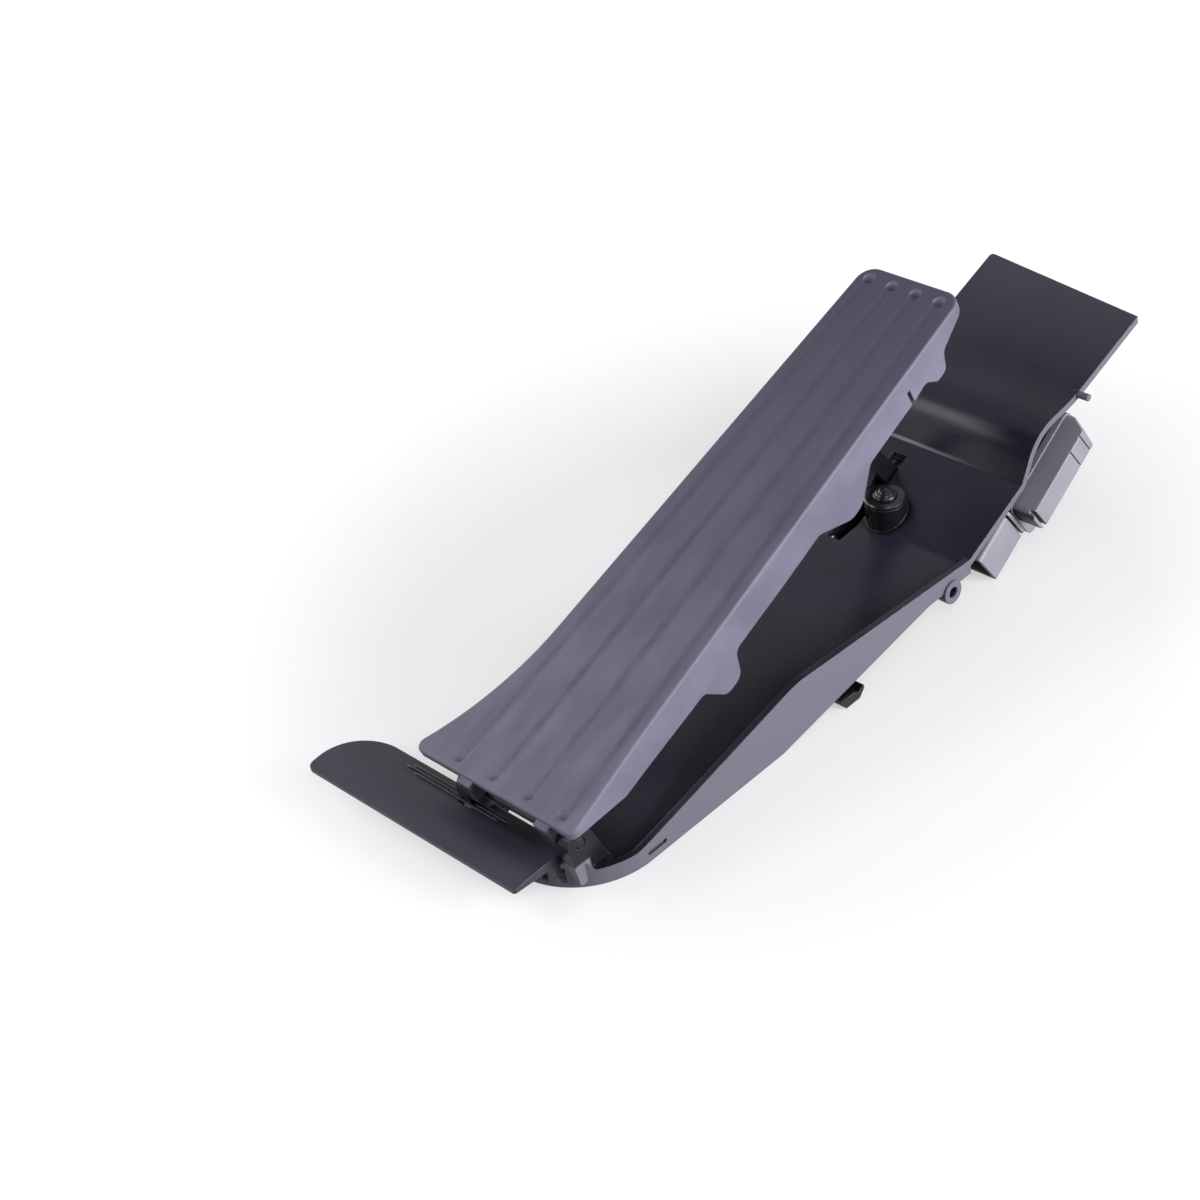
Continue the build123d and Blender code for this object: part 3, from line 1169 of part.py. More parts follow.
with BuildPart() as kickdown_cup:
    with BuildSketch(KICK_AXIS):
        with BuildLine():
            Polyline(
                (0, KICK_FLOOR_Z),
                (KICK_CUP_RADIUS, KICK_FLOOR_Z),
                (KICK_CUP_RADIUS, KICK_RIM_Z),
                (KICK_CUP_RADIUS + KICK_BOSS_WALL, KICK_RIM_Z),
                (KICK_CUP_RADIUS + KICK_BOSS_WALL, CUP_TOP_Z - KICK_FLANGE / 3),
                (KICK_CUP_RADIUS + KICK_BOSS_WALL - KICK_FLANGE / 3, CUP_TOP_Z),
                (KICK_STEM_RADIUS + KICK_RUNNING_GAP, CUP_TOP_Z),
                (KICK_STEM_RADIUS + KICK_RUNNING_GAP, CUP_LIP_Z),
                (KICK_BORE_RADIUS, CUP_LIP_Z),
                (KICK_BORE_RADIUS, CUP_FLOOR_Z),
                (0, CUP_FLOOR_Z),
                close=True,
            )
        make_face()
    revolve(axis=Axis((KICK_X, KICK_Y, 0), UP))
save(kickdown_cup, "kickdown_cup")

DOME_RADIUS = (KICK_STEM_RADIUS**2 + KICK_DOME**2) / (2 * KICK_DOME)
DOME_HALF_ANGLE = math.asin(KICK_STEM_RADIUS / DOME_RADIUS) / 2

with BuildPart() as kickdown_plunger:
    with BuildSketch(KICK_AXIS):
        with BuildLine():
            dome = ThreePointArc(
                (KICK_STEM_RADIUS, KICK_TOP_Z - KICK_DOME),
                (
                    DOME_RADIUS * math.sin(DOME_HALF_ANGLE),
                    KICK_TOP_Z - DOME_RADIUS * (1 - math.cos(DOME_HALF_ANGLE)),
                ),
                (0, KICK_TOP_Z),
            )
            Polyline(
                dome @ 1,
                (0, SHOULDER_LOW_Z + KICK_POCKET_DEPTH),
                (KICK_POCKET_RADIUS, SHOULDER_LOW_Z + KICK_POCKET_DEPTH),
                (KICK_POCKET_RADIUS, SHOULDER_LOW_Z),
                (KICK_BORE_RADIUS - KICK_RUNNING_GAP, SHOULDER_LOW_Z),
                (KICK_BORE_RADIUS - KICK_RUNNING_GAP, SHOULDER_TOP_Z),
                (KICK_STEM_RADIUS, SHOULDER_TOP_Z),
                dome @ 0,
            )
        make_face()
    revolve(axis=Axis((KICK_X, KICK_Y, 0), UP))
save(kickdown_plunger, "kickdown_plunger")

KICK_SPRING_LOW_Z = CUP_FLOOR_Z + KICK_SPRING_WIRE
KICK_SPRING_HIGH_Z = SHOULDER_LOW_Z + KICK_POCKET_DEPTH - SIDE_PLAY - KICK_SPRING_WIRE
with BuildPart() as kickdown_spring:
    with BuildLine() as coil:
        Helix(
            pitch=(KICK_SPRING_HIGH_Z - KICK_SPRING_LOW_Z) / KICK_SPRING_TURNS,
            height=KICK_SPRING_HIGH_Z - KICK_SPRING_LOW_Z,
            radius=KICK_SPRING_RADIUS,
            center=(KICK_X, KICK_Y, KICK_SPRING_LOW_Z),
        )
    with BuildSketch(coil.line ^ 0):
        Circle(KICK_SPRING_WIRE)
    sweep(path=coil.line)
save(kickdown_spring, "kickdown_spring")
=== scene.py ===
# %% [markdown]
# # A floor-hinged accelerator pedal
# The object is a long grey pedal plate that is hinged at its heel on a black moulded tray. Under the tray's step sits
# the box that reads the pedal's angle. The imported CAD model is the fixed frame: its nodes are never moved, and this
# lesson gives every surface its finish and adds what only a mesh can show.

# %% Load the frame
import json
import math

import bpy
from mathutils import Matrix, Vector


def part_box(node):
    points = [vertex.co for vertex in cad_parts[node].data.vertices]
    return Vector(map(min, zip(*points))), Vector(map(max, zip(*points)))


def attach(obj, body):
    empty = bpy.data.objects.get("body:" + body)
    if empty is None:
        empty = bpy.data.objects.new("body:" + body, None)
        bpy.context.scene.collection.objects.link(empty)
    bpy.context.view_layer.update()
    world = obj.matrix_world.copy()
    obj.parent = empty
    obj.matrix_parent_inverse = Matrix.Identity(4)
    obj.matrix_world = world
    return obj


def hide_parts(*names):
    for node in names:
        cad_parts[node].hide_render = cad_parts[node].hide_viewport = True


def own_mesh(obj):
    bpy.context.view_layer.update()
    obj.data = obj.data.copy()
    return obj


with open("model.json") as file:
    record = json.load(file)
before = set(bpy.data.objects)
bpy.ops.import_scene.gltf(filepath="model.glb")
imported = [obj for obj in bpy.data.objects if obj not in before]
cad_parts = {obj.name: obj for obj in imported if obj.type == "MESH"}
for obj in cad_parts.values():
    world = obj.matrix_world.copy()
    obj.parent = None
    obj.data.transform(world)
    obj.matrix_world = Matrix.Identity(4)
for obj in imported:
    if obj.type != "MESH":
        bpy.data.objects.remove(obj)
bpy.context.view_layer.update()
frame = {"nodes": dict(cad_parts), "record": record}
solids = frame["nodes"]
bpy.ops.object.select_all(action="DESELECT")
MM = 0.001

# %% [markdown]
# ## The camera
# The camera looks down on the pedal from its right side, with the heel towards the viewer. Its three directions were
# fitted to the plate's corners, so they are written as vectors and made square to each other before they become a
# turn. A lens of about 75 mm on a 36 mm sensor gives the same perspective as the fit.

# %% Camera
CAMERA_PLACE = Vector((0.49393, -0.34836, 0.53710))
CAMERA_RIGHT = Vector((0.70085, 0.69835, -0.14530)).normalized()
CAMERA_UP = Vector((-0.33836, 0.50481, 0.79416))
LENS_MM = 75.39
SENSOR_MM = 36.0
NEAREST = 0.01

camera_back = CAMERA_RIGHT.cross(CAMERA_UP).normalized()
camera_up = camera_back.cross(CAMERA_RIGHT)
camera_turn = Matrix((CAMERA_RIGHT, camera_up, camera_back)).transposed()
bpy.ops.object.camera_add(location=CAMERA_PLACE, rotation=camera_turn.to_euler())
camera = bpy.context.object
camera.name = "photo_camera"
camera.data.lens = LENS_MM
camera.data.sensor_width = SENSOR_MM
camera.data.clip_start = NEAREST
bpy.context.scene.camera = camera
print("camera looks along", [round(v, 3) for v in -camera_back])

# %% [markdown]
# ## Small helpers for node trees
# World, floor and finishes are all node trees. Each helper adds one or two nodes, links them and returns the socket
# that holds the result, so that a tree can be written down like a formula. A band is a pair of values: a mask fades
# between them.

# %% Numbers in a node tree
def add_range(tree, value, low, high, to_low, to_high):
    """The value stretched from low..high to to_low..to_high, and held there."""
    stretch = tree.nodes.new("ShaderNodeMapRange")
    for socket, number in zip(("From Min", "From Max", "To Min", "To Max"), (low, high, to_low, to_high)):
        stretch.inputs[socket].default_value = number
    tree.links.new(value, stretch.inputs["Value"])
    return stretch.outputs["Result"]


def fade_in(tree, value, band):
    """0 below the band, 1 above it."""
    return add_range(tree, value, *band, 0.0, 1.0)


def fade_out(tree, value, band):
    """1 below the band, 0 above it."""
    return add_range(tree, value, *band, 1.0, 0.0)


def add_math(tree, operation, first, second=0.0):
    """One sum of two values, each a socket or a number."""
    sum_node = tree.nodes.new("ShaderNodeMath")
    sum_node.operation = operation
    for socket, value in zip(sum_node.inputs, (first, second)):
        if isinstance(value, (int, float)):
            socket.default_value = value
        else:
            tree.links.new(value, socket)
    return sum_node.outputs[0]


def add_product(tree, first, *others):
    """All the values multiplied."""
    for other in others:
        first = add_math(tree, "MULTIPLY", first, other)
    return first


print("number helpers ready")

# %% Vectors in a node tree
def add_split(tree, vector):
    """The X, Y and Z of a vector, by letter."""
    split = tree.nodes.new("ShaderNodeSeparateXYZ")
    tree.links.new(vector, split.inputs["Vector"])
    return split.outputs


def add_vector(tree, operation, first, second=None):
    """One sum on a vector. second is a socket, a plain vector or nothing."""
    sum_node = tree.nodes.new("ShaderNodeVectorMath")
    sum_node.operation = operation
    tree.links.new(first, sum_node.inputs[0])
    if isinstance(second, tuple):
        sum_node.inputs[1].default_value = second
    elif second is not None:
        tree.links.new(second, sum_node.inputs[1])
    gives_number = operation in ("LENGTH", "DISTANCE", "DOT_PRODUCT")
    return sum_node.outputs["Value" if gives_number else "Vector"]


def add_spread(tree, place, centre, keep):
    """How far a place is from centre, counting only the axes in keep."""
    return add_vector(tree, "LENGTH", add_vector(tree, "MULTIPLY", add_vector(tree, "SUBTRACT", place, centre), keep))


print("vector helpers ready")

# %% [markdown]
# ## Light, floor and background
# The faces that look to the right are more than twice as bright as the faces that look up, so the main lamp is a wide
# soft box low on the right. A box above the camera reaches into the tray, one high on the left is what the step in the
# tray mirrors, a small one at the heel makes the pedal's face brighter towards the heel, and a weak one low on the left
# keeps the far side readable. The world gives the rest as an even soft light. The camera sees a white world, and rays
# that glossy plastic sends out see one nearly as bright, so the black plastic has something to mirror. For the same
# rays the floor glows, more so the further it is from the part, and turns white without losing the part's shadow.

# %% World
WORLD_FILL = 0.096
WORLD_MIRRORED = 0.8
WORLD_SEEN = 1.0
WHITE = (1.0, 1.0, 1.0, 1.0)

world = bpy.data.worlds.new("studio")
bpy.context.scene.world = world
world.use_nodes = True
sky = world.node_tree
sky.nodes.clear()
sky_rays = sky.nodes.new("ShaderNodeLightPath").outputs
sky_paint = sky.nodes.new("ShaderNodeBackground")
sky_paint.inputs["Color"].default_value = WHITE
sky_out = sky.nodes.new("ShaderNodeOutputWorld")
sky_mirrored = add_math(sky, "MULTIPLY", sky_rays["Is Glossy Ray"], WORLD_MIRRORED)
sky_seen = add_math(sky, "MAXIMUM", sky_rays["Is Camera Ray"], sky_mirrored)
sky_any = add_math(sky, "MAXIMUM", sky_seen, sky_rays["Is Transmission Ray"])
sky.links.new(add_range(sky, sky_any, 0.0, 1.0, WORLD_FILL, WORLD_SEEN), sky_paint.inputs["Strength"])
sky.links.new(sky_paint.outputs["Background"], sky_out.inputs["Surface"])
bpy.context.scene.view_settings.view_transform = "Standard"
print("world fill:", WORLD_FILL)

# %% Lamps
PART_MIDDLE = Vector((-0.01, 0.13, 0.04))


def soft_box(name, place, size, watts):
    """A square lamp that faces the middle of the part."""
    bpy.ops.object.light_add(type="AREA", location=place)
    lamp = bpy.context.object
    lamp.name = name
    lamp.data.shape = "SQUARE"
    lamp.data.size = size
    lamp.data.energy = watts
    lamp.rotation_euler = (Vector(place) - PART_MIDDLE).to_track_quat("Z", "Y").to_euler()


soft_box("side_box", (0.70, 0.33, 0.20), 0.5, 13.2)
soft_box("fill_box", (0.60, -0.20, 0.80), 0.6, 3.6)
soft_box("left_box", (-0.66, -0.43, 0.80), 0.36, 2.6)
soft_box("heel_box", (-0.15, -0.32, 0.28), 0.3, 1.3)
soft_box("far_side_box", (-0.72, 0.06, 0.15), 0.5, 2.6)

# %% Floor
FLOOR_SIZE = 8.0
FLOOR_GAP = 0.2 * MM
FLOOR_COLOUR = (0.32, 0.315, 0.33, 1.0)
FLOOR_GLOW = 0.52
FAR_GLOW = 1.0
GLOW_START = 0.13
GLOW_END = 0.37

bpy.ops.object.select_all(action="DESELECT")
bpy.ops.mesh.primitive_plane_add(size=FLOOR_SIZE, location=(0.0, 0.0, -FLOOR_GAP))
floor = bpy.context.object
floor.name = "floor"
bpy.ops.object.transform_apply(location=True, rotation=True, scale=True)
floor_paint = bpy.data.materials.new("floor_paint")
floor_paint.use_nodes = True
paint = floor_paint.node_tree
paint.nodes.clear()
floor_rays = paint.nodes.new("ShaderNodeLightPath").outputs
floor_place = paint.nodes.new("ShaderNodeTexCoord").outputs["Object"]
floor_reach = add_vector(paint, "DISTANCE", floor_place, (PART_MIDDLE.x, PART_MIDDLE.y, 0.0))
floor_level = add_range(paint, floor_reach, GLOW_START, GLOW_END, FLOOR_GLOW, FAR_GLOW)
floor_any = add_math(paint, "MAXIMUM", floor_rays["Is Camera Ray"], floor_rays["Is Glossy Ray"])
floor_matt = paint.nodes.new("ShaderNodeBsdfDiffuse")
floor_matt.inputs["Color"].default_value = FLOOR_COLOUR
floor_glow = paint.nodes.new("ShaderNodeEmission")
floor_sum = paint.nodes.new("ShaderNodeAddShader")
floor_out = paint.nodes.new("ShaderNodeOutputMaterial")
paint.links.new(add_math(paint, "MULTIPLY", floor_any, floor_level), floor_glow.inputs["Strength"])
paint.links.new(floor_matt.outputs["BSDF"], floor_sum.inputs[0])
paint.links.new(floor_glow.outputs["Emission"], floor_sum.inputs[1])
paint.links.new(floor_sum.outputs["Shader"], floor_out.inputs["Surface"])
floor.data.materials.append(floor_paint)
print("floor at", -FLOOR_GAP)

# %% [markdown]
# ## Moulded plastic
# Nearly every piece is injection-moulded plastic. The mould gives it a fine spark-eroded grain, the flow of the melt
# gives it cloudy patches, and its edges are pale: partly wear from hands and shoes, partly a painted highlight along
# the edges. One function builds these three layers from noise on Object coordinates, so that the grain has the same
# size on every piece. The bevel node rounds sharp edges in the shading and, compared with the plain normal, also tells
# where the edges are. The tray's outer walls come out of the mould with a frost, so a mask finds the faces that stand
# at the tray's outline and look outwards. There the finish is rougher, and lighter both from the frost and from a
# painted sheen.

# %% A shader and its layers
BEVEL_SAMPLES = 4
EDGE_FLAT = 0.98
EDGE_SHARP = 0.75


def start_finish(name):
    """A node material with only a Principled shader and an output, and its tree."""
    finish = bpy.data.materials.new(name)
    finish.use_nodes = True
    tree = finish.node_tree
    tree.nodes.clear()
    shader = tree.nodes.new("ShaderNodeBsdfPrincipled")
    output = tree.nodes.new("ShaderNodeOutputMaterial")
    tree.links.new(shader.outputs["BSDF"], output.inputs["Surface"])
    return finish, tree, shader


def add_noise(tree, place, size, detail=3.0, stretch=(1.0, 1.0, 1.0)):
    """Noise whose clouds are about size metres, longer along an axis where stretch is more than 1."""
    mapping = tree.nodes.new("ShaderNodeMapping")
    mapping.inputs["Scale"].default_value = [1.0 / (size * s) for s in stretch]
    cloud = tree.nodes.new("ShaderNodeTexNoise")
    cloud.inputs["Scale"].default_value = 1.0
    cloud.inputs["Detail"].default_value = detail
    tree.links.new(place, mapping.inputs["Vector"])
    tree.links.new(mapping.outputs["Vector"], cloud.inputs["Vector"])
    return cloud.outputs["Fac"]


def add_mix(tree, amount, first, second):
    """A colour between two, each a socket or a plain colour."""
    mix = tree.nodes.new("ShaderNodeMix")
    mix.data_type = "RGBA"
    tree.links.new(amount, mix.inputs["Factor"])
    for socket, colour in ((mix.inputs["A"], first), (mix.inputs["B"], second)):
        if isinstance(colour, tuple):
            socket.default_value = (*colour, 1.0)
        else:
            tree.links.new(colour, socket)
    return mix.outputs["Result"]


def add_edges(tree, radius):
    """The rounded normal, and how far it leaves the flat one: 0 on a face and 1 on a sharp edge."""
    rounded = tree.nodes.new("ShaderNodeBevel")
    rounded.samples = BEVEL_SAMPLES
    rounded.inputs["Radius"].default_value = radius
    plain = tree.nodes.new("ShaderNodeNewGeometry")
    likeness = add_vector(tree, "DOT_PRODUCT", rounded.outputs["Normal"], plain.outputs["Normal"])
    return rounded.outputs["Normal"], add_range(tree, likeness, EDGE_FLAT, EDGE_SHARP, 0.0, 1.0)


def add_bump(tree, height, depth, normal):
    """The normal of a surface that rises by depth metres where height is 1."""
    bump = tree.nodes.new("ShaderNodeBump")
    bump.inputs["Distance"].default_value = depth
    tree.links.new(height, bump.inputs["Height"])
    tree.links.new(normal, bump.inputs["Normal"])
    return bump.outputs["Normal"]


print("layers ready")

# %% Frosted walls with a painted sheen
TRAY_MIDDLE_X = -1.0 * MM
TRAY_HALF_WIDTH = 35.0 * MM
HEEL_TURN_Y = 25.0 * MM
HEEL_TURN_RADIUS = 30.0 * MM
HEEL_TOP_BAND = (10.0 * MM, 11.0 * MM)
HINGE_END_BAND = (13.0 * MM, 14.0 * MM)
WALL_BAND = (HEEL_TURN_RADIUS - 0.9 * MM, HEEL_TURN_RADIUS - 0.5 * MM)
STAND_OFF_BAND = (HEEL_TURN_RADIUS + 0.2 * MM, HEEL_TURN_RADIUS + 0.4 * MM)
OUTWARD_BAND = (0.5, 0.8)
FROST_ROUGHNESS = 0.62


def outer_walls(tree, texture_place):
    """1 on the tray's outer wall, which has a frost and a painted sheen, and 0 elsewhere."""
    place = add_split(tree, texture_place.outputs["Object"])
    half_flat = TRAY_HALF_WIDTH - HEEL_TURN_RADIUS
    across = add_math(tree, "SUBTRACT", place["X"], TRAY_MIDDLE_X)
    on_flat = add_math(tree, "MINIMUM", add_math(tree, "MAXIMUM", across, -half_flat), half_flat)
    behind = add_math(tree, "MINIMUM", add_math(tree, "SUBTRACT", place["Y"], HEEL_TURN_Y), 0.0)
    outward = tree.nodes.new("ShaderNodeCombineXYZ")
    tree.links.new(add_math(tree, "SUBTRACT", across, on_flat), outward.inputs["X"])
    tree.links.new(behind, outward.inputs["Y"])
    reach = add_vector(tree, "LENGTH", outward.outputs["Vector"])
    heading = add_vector(tree, "NORMALIZE", outward.outputs["Vector"])
    facing = add_vector(tree, "DOT_PRODUCT", heading, texture_place.outputs["Normal"])
    past_hinge = fade_in(tree, place["Y"], HINGE_END_BAND)
    under_hinge = fade_out(tree, place["Z"], HEEL_TOP_BAND)
    wall = add_product(tree, fade_in(tree, reach, WALL_BAND), fade_in(tree, facing, OUTWARD_BAND),
                       add_math(tree, "MAXIMUM", past_hinge, under_hinge))
    stands_off = fade_in(tree, reach, STAND_OFF_BAND)
    return add_math(tree, "MAXIMUM", wall, add_math(tree, "MULTIPLY", stands_off, past_hinge))


print("frosted walls ready")

# %% Moulded plastic
CLOUD_DETAIL = 4.0
CLOUD_BAND = (0.35, 0.68)
DULL_RANGE = (0.3, 0.7, 0.9, 1.1)
EDGE_PATCH_SIZE = 6.0 * MM
EDGE_PATCH_RANGE = (0.38, 0.62, 0.15, 1.0)
GRAIN_DETAIL = 2.0
UM = MM * MM


def moulded_plastic(name, colour, cloud_colour, edge_wear_and_highlight_colour, roughness, grain_mm, grain_um, cloud_mm=22.0,
                    cloud_stretch=(1.0, 1.0, 1.0), edge_wear_and_highlight=0.5, edge_mm=0.5, specular=0.5, frost_and_painted_sheen=None, marks=()):
    """Plastic with cloudy patches, a spark-eroded grain, and pale edges that are wear and a painted highlight.

    frost_and_painted_sheen is the colour of outer walls: a frost with a painted sheen. Each of marks is a function that
    gives a mask, and the colour under that mask.
    """
    finish, tree, shader = start_finish(name)
    texture_place = tree.nodes.new("ShaderNodeTexCoord")
    place = texture_place.outputs["Object"]
    clouds = add_noise(tree, place, cloud_mm * MM, CLOUD_DETAIL, cloud_stretch)
    body = add_mix(tree, fade_in(tree, clouds, CLOUD_BAND), colour, cloud_colour)
    dull = add_math(tree, "MULTIPLY", add_range(tree, clouds, *DULL_RANGE), roughness)
    # Each mark mixes in its colour; most of them are painted light and shade.
    for mark, mark_colour in marks:
        body = add_mix(tree, mark(tree, texture_place), body, mark_colour)
    if frost_and_painted_sheen is not None:
        # Outer walls: a rougher frost, and a lighter colour from the frost and a painted sheen.
        outer = outer_walls(tree, texture_place)
        body = add_mix(tree, outer, body, frost_and_painted_sheen)
        dull = add_math(tree, "ADD", dull, add_math(tree, "MULTIPLY", outer, FROST_ROUGHNESS - roughness))
    rounded, edges = add_edges(tree, edge_mm * MM)
    # Pale edges: wear from hands and shoes, and a painted highlight along the edges.
    edge_patches = add_range(tree, add_noise(tree, place, EDGE_PATCH_SIZE), *EDGE_PATCH_RANGE)
    edge_wear_and_highlight_mask = add_product(tree, edges, edge_patches, edge_wear_and_highlight)
    tree.links.new(add_mix(tree, edge_wear_and_highlight_mask, body, edge_wear_and_highlight_colour), shader.inputs["Base Color"])
    grain = add_noise(tree, place, grain_mm * MM, GRAIN_DETAIL)
    tree.links.new(dull, shader.inputs["Roughness"])
    tree.links.new(add_bump(tree, grain, grain_um * UM, rounded), shader.inputs["Normal"])
    shader.inputs["Specular IOR Level"].default_value = specular
    return finish


print("moulded plastic ready")

# %% [markdown]
# ## Painted light and shade
# Most of these marks are painted light and shade that follow the shape. Painted shade lies on the flank of each of
# the four flutes that looks away from the light, and the painted shadow of the pedal's edge lies between the lip's
# ridges. The plate gets darker towards its top, from painted shade and from less shoe wear there. Painted shade
# darkens the hinge, the deck beside it and the ring round the kick-down button, and painted light brightens both ends
# of the tray. The crease under the step carries a painted highlight, the open cells of the heel are pale with painted
# light, and the faces that look out of the connector's mouth are dark with painted shade. Each mark is a mask from
# Object coordinates, so it moves with its piece.

# %% Marks on the pedal
FLUTE_MIDDLE_X = -0.7 * MM
FLUTE_HEEL_Y = 2.6 * MM
FLUTE_HEEL_PITCH = 15.9 * MM
FLUTE_TOP_Y = 204.6 * MM
FLUTE_TOP_PITCH = 10.1 * MM
FLUTE_SHADE = 1.5 * MM
FLUTE_LINE_BAND = (0.3 * MM, 2.4 * MM)
FLUTE_COUNT_BAND = (1.75, 1.95)
FLUTE_END = 2.0 * MM
FLUTE_SHADE_PATCH_SIZE = 14.0 * MM
FLUTE_SHADE_PATCH_RANGE = (0.35, 0.65, 0.45, 1.0)
UPWARD_BAND = (0.6, 0.8)
UPPER_SHADE_AND_WEAR_BAND = (40.0 * MM, 190.0 * MM)
HINGE_AXIS = (0.0, 4.71 * MM, 18.28 * MM)
HINGE_SHADE_BAND = (9.6 * MM, 10.4 * MM)
HINGE_SHADE_SIDE_BAND = (23.0 * MM, 24.0 * MM)
ACROSS_X = (0.0, 1.0, 1.0)
ALONG_X = (1.0, 0.0, 0.0)


def looks_up(tree, texture_place):
    """1 on faces that look up, 0 on the others."""
    return fade_in(tree, add_split(tree, texture_place.outputs["Normal"])["Z"], UPWARD_BAND)


def flute_painted_shade(tree, texture_place):
    """Painted shade: 1 on the flank of the four flutes that looks away from the light, on up faces, 0 elsewhere."""
    spot = texture_place.outputs["Object"]
    place = add_split(tree, spot)
    pitch = add_range(tree, place["Y"], FLUTE_HEEL_Y, FLUTE_TOP_Y, FLUTE_HEEL_PITCH, FLUTE_TOP_PITCH)
    across = add_math(tree, "SUBTRACT", place["X"], FLUTE_MIDDLE_X + FLUTE_SHADE)
    count = add_math(tree, "ADD", add_math(tree, "DIVIDE", across, pitch), 0.5)
    off_line = add_math(tree, "ABSOLUTE", add_math(tree, "SUBTRACT", count, add_math(tree, "ROUND", count)))
    line = fade_out(tree, add_math(tree, "MULTIPLY", off_line, pitch), FLUTE_LINE_BAND)
    off_middle = add_math(tree, "ABSOLUTE", add_math(tree, "SUBTRACT", count, 0.5))
    heel_end = fade_in(tree, place["Y"], (FLUTE_HEEL_Y - FLUTE_END, FLUTE_HEEL_Y + FLUTE_END))
    top_end = fade_out(tree, place["Y"], (FLUTE_TOP_Y - FLUTE_END, FLUTE_TOP_Y + FLUTE_END))
    uneven = add_range(tree, add_noise(tree, spot, FLUTE_SHADE_PATCH_SIZE, CLOUD_DETAIL), *FLUTE_SHADE_PATCH_RANGE)
    return add_product(tree, line, fade_out(tree, off_middle, FLUTE_COUNT_BAND), heel_end, top_end,
                       looks_up(tree, texture_place), uneven)


def upper_shade_and_wear(tree, texture_place):
    """Painted shade and less wear: rises from 0 near the pedal's heel to 1 near its top, on faces that look up."""
    place = add_split(tree, texture_place.outputs["Object"])
    return add_product(tree, looks_up(tree, texture_place), fade_in(tree, place["Y"], UPPER_SHADE_AND_WEAR_BAND))


def hinge_painted_shade(tree, texture_place):
    """Painted shade: 1 on the barrels and brackets round the hinge pin, 0 elsewhere."""
    spot = texture_place.outputs["Object"]
    off_axis = add_spread(tree, spot, HINGE_AXIS, ACROSS_X)
    off_middle = add_spread(tree, spot, HINGE_AXIS, ALONG_X)
    return add_product(tree, fade_out(tree, off_axis, HINGE_SHADE_BAND), fade_out(tree, off_middle, HINGE_SHADE_SIDE_BAND))


print("pedal marks ready")

# %% Marks on the tray
CELL_LEFT_BAND = (10.0 * MM, 12.0 * MM)
CELL_BACK_BAND = (6.5 * MM, 7.5 * MM)
DECK_BAND = (14.0 * MM, 40.0 * MM)
CREASE_LINE = (0.0, 218.4 * MM, 31.7 * MM)
CREASE_BAND = (0.35 * MM, 0.85 * MM)
CREASE_RIGHT_BAND = (-14.0 * MM, 12.0 * MM)
HEEL_END_LIGHT_BAND = (30.0 * MM, 100.0 * MM)
TOE_END_LIGHT_BAND = (255.0 * MM, 300.0 * MM)
KICK_PLACE = (-6.4 * MM, 192.0 * MM, 0.0)
KICK_RING_BAND = (8.4 * MM, 10.0 * MM)
ACROSS_Z = (1.0, 1.0, 0.0)


def heel_cells_painted_light(tree, texture_place):
    """Painted light: 1 on the open cells at the right of the heel block, 0 elsewhere."""
    place = add_split(tree, texture_place.outputs["Object"])
    return add_product(tree, fade_in(tree, place["X"], CELL_LEFT_BAND), fade_out(tree, place["Z"], HEEL_TOP_BAND),
                       fade_out(tree, place["Y"], CELL_BACK_BAND))


def heel_deck_painted_shade(tree, texture_place):
    """Painted shade: 1 on the ears and the deck beside the hinge, fading to 0 along the tray."""
    return fade_out(tree, add_split(tree, texture_place.outputs["Object"])["Y"], DECK_BAND)


def crease_painted_highlight(tree, texture_place):
    """Painted highlight: 1 in the crease between ramp and step, fading to the right, and 0 elsewhere."""
    spot = texture_place.outputs["Object"]
    near = fade_out(tree, add_spread(tree, spot, CREASE_LINE, ACROSS_X), CREASE_BAND)
    return add_product(tree, near, fade_out(tree, add_split(tree, spot)["X"], CREASE_RIGHT_BAND))


def tray_ends_painted_light(tree, texture_place):
    """Painted light: rises to 1 at both ends of the tray."""
    along = add_split(tree, texture_place.outputs["Object"])["Y"]
    return add_math(tree, "MAXIMUM", fade_out(tree, along, HEEL_END_LIGHT_BAND), fade_in(tree, along, TOE_END_LIGHT_BAND))


def kick_ring_painted_shade(tree, texture_place):
    """Painted shade: 1 on the boss round the kick-down button, 0 elsewhere."""
    return fade_out(tree, add_spread(tree, texture_place.outputs["Object"], KICK_PLACE, ACROSS_Z), KICK_RING_BAND)


print("tray marks ready")

# %% Marks on lip and connector
LIP_LEFT_BAND = (-58.0 * MM, -50.0 * MM)
LIP_RIGHT_BAND = (6.0 * MM, 16.0 * MM)
LIP_FRONT_BAND = (-2.5 * MM, 0.0)
MOUTH_FACING = (0.0, -0.848, -0.530)
MOUTH_BAND = (0.55, 0.75)


def lip_painted_shadow(tree, texture_place):
    """Painted shadow of the pedal's edge: 1 between the ridges at the rear of the heel lip, 0 elsewhere."""
    place = add_split(tree, texture_place.outputs["Object"])
    return add_product(tree, fade_in(tree, place["X"], LIP_LEFT_BAND), fade_out(tree, place["X"], LIP_RIGHT_BAND),
                       fade_in(tree, place["Y"], LIP_FRONT_BAND))


def mouth_painted_shade(tree, texture_place):
    """Painted shade: 1 on faces that look out of the connector's mouth, 0 elsewhere."""
    facing = add_vector(tree, "DOT_PRODUCT", texture_place.outputs["Normal"], MOUTH_FACING)
    return fade_in(tree, facing, MOUTH_BAND)


print("lip and connector marks ready")

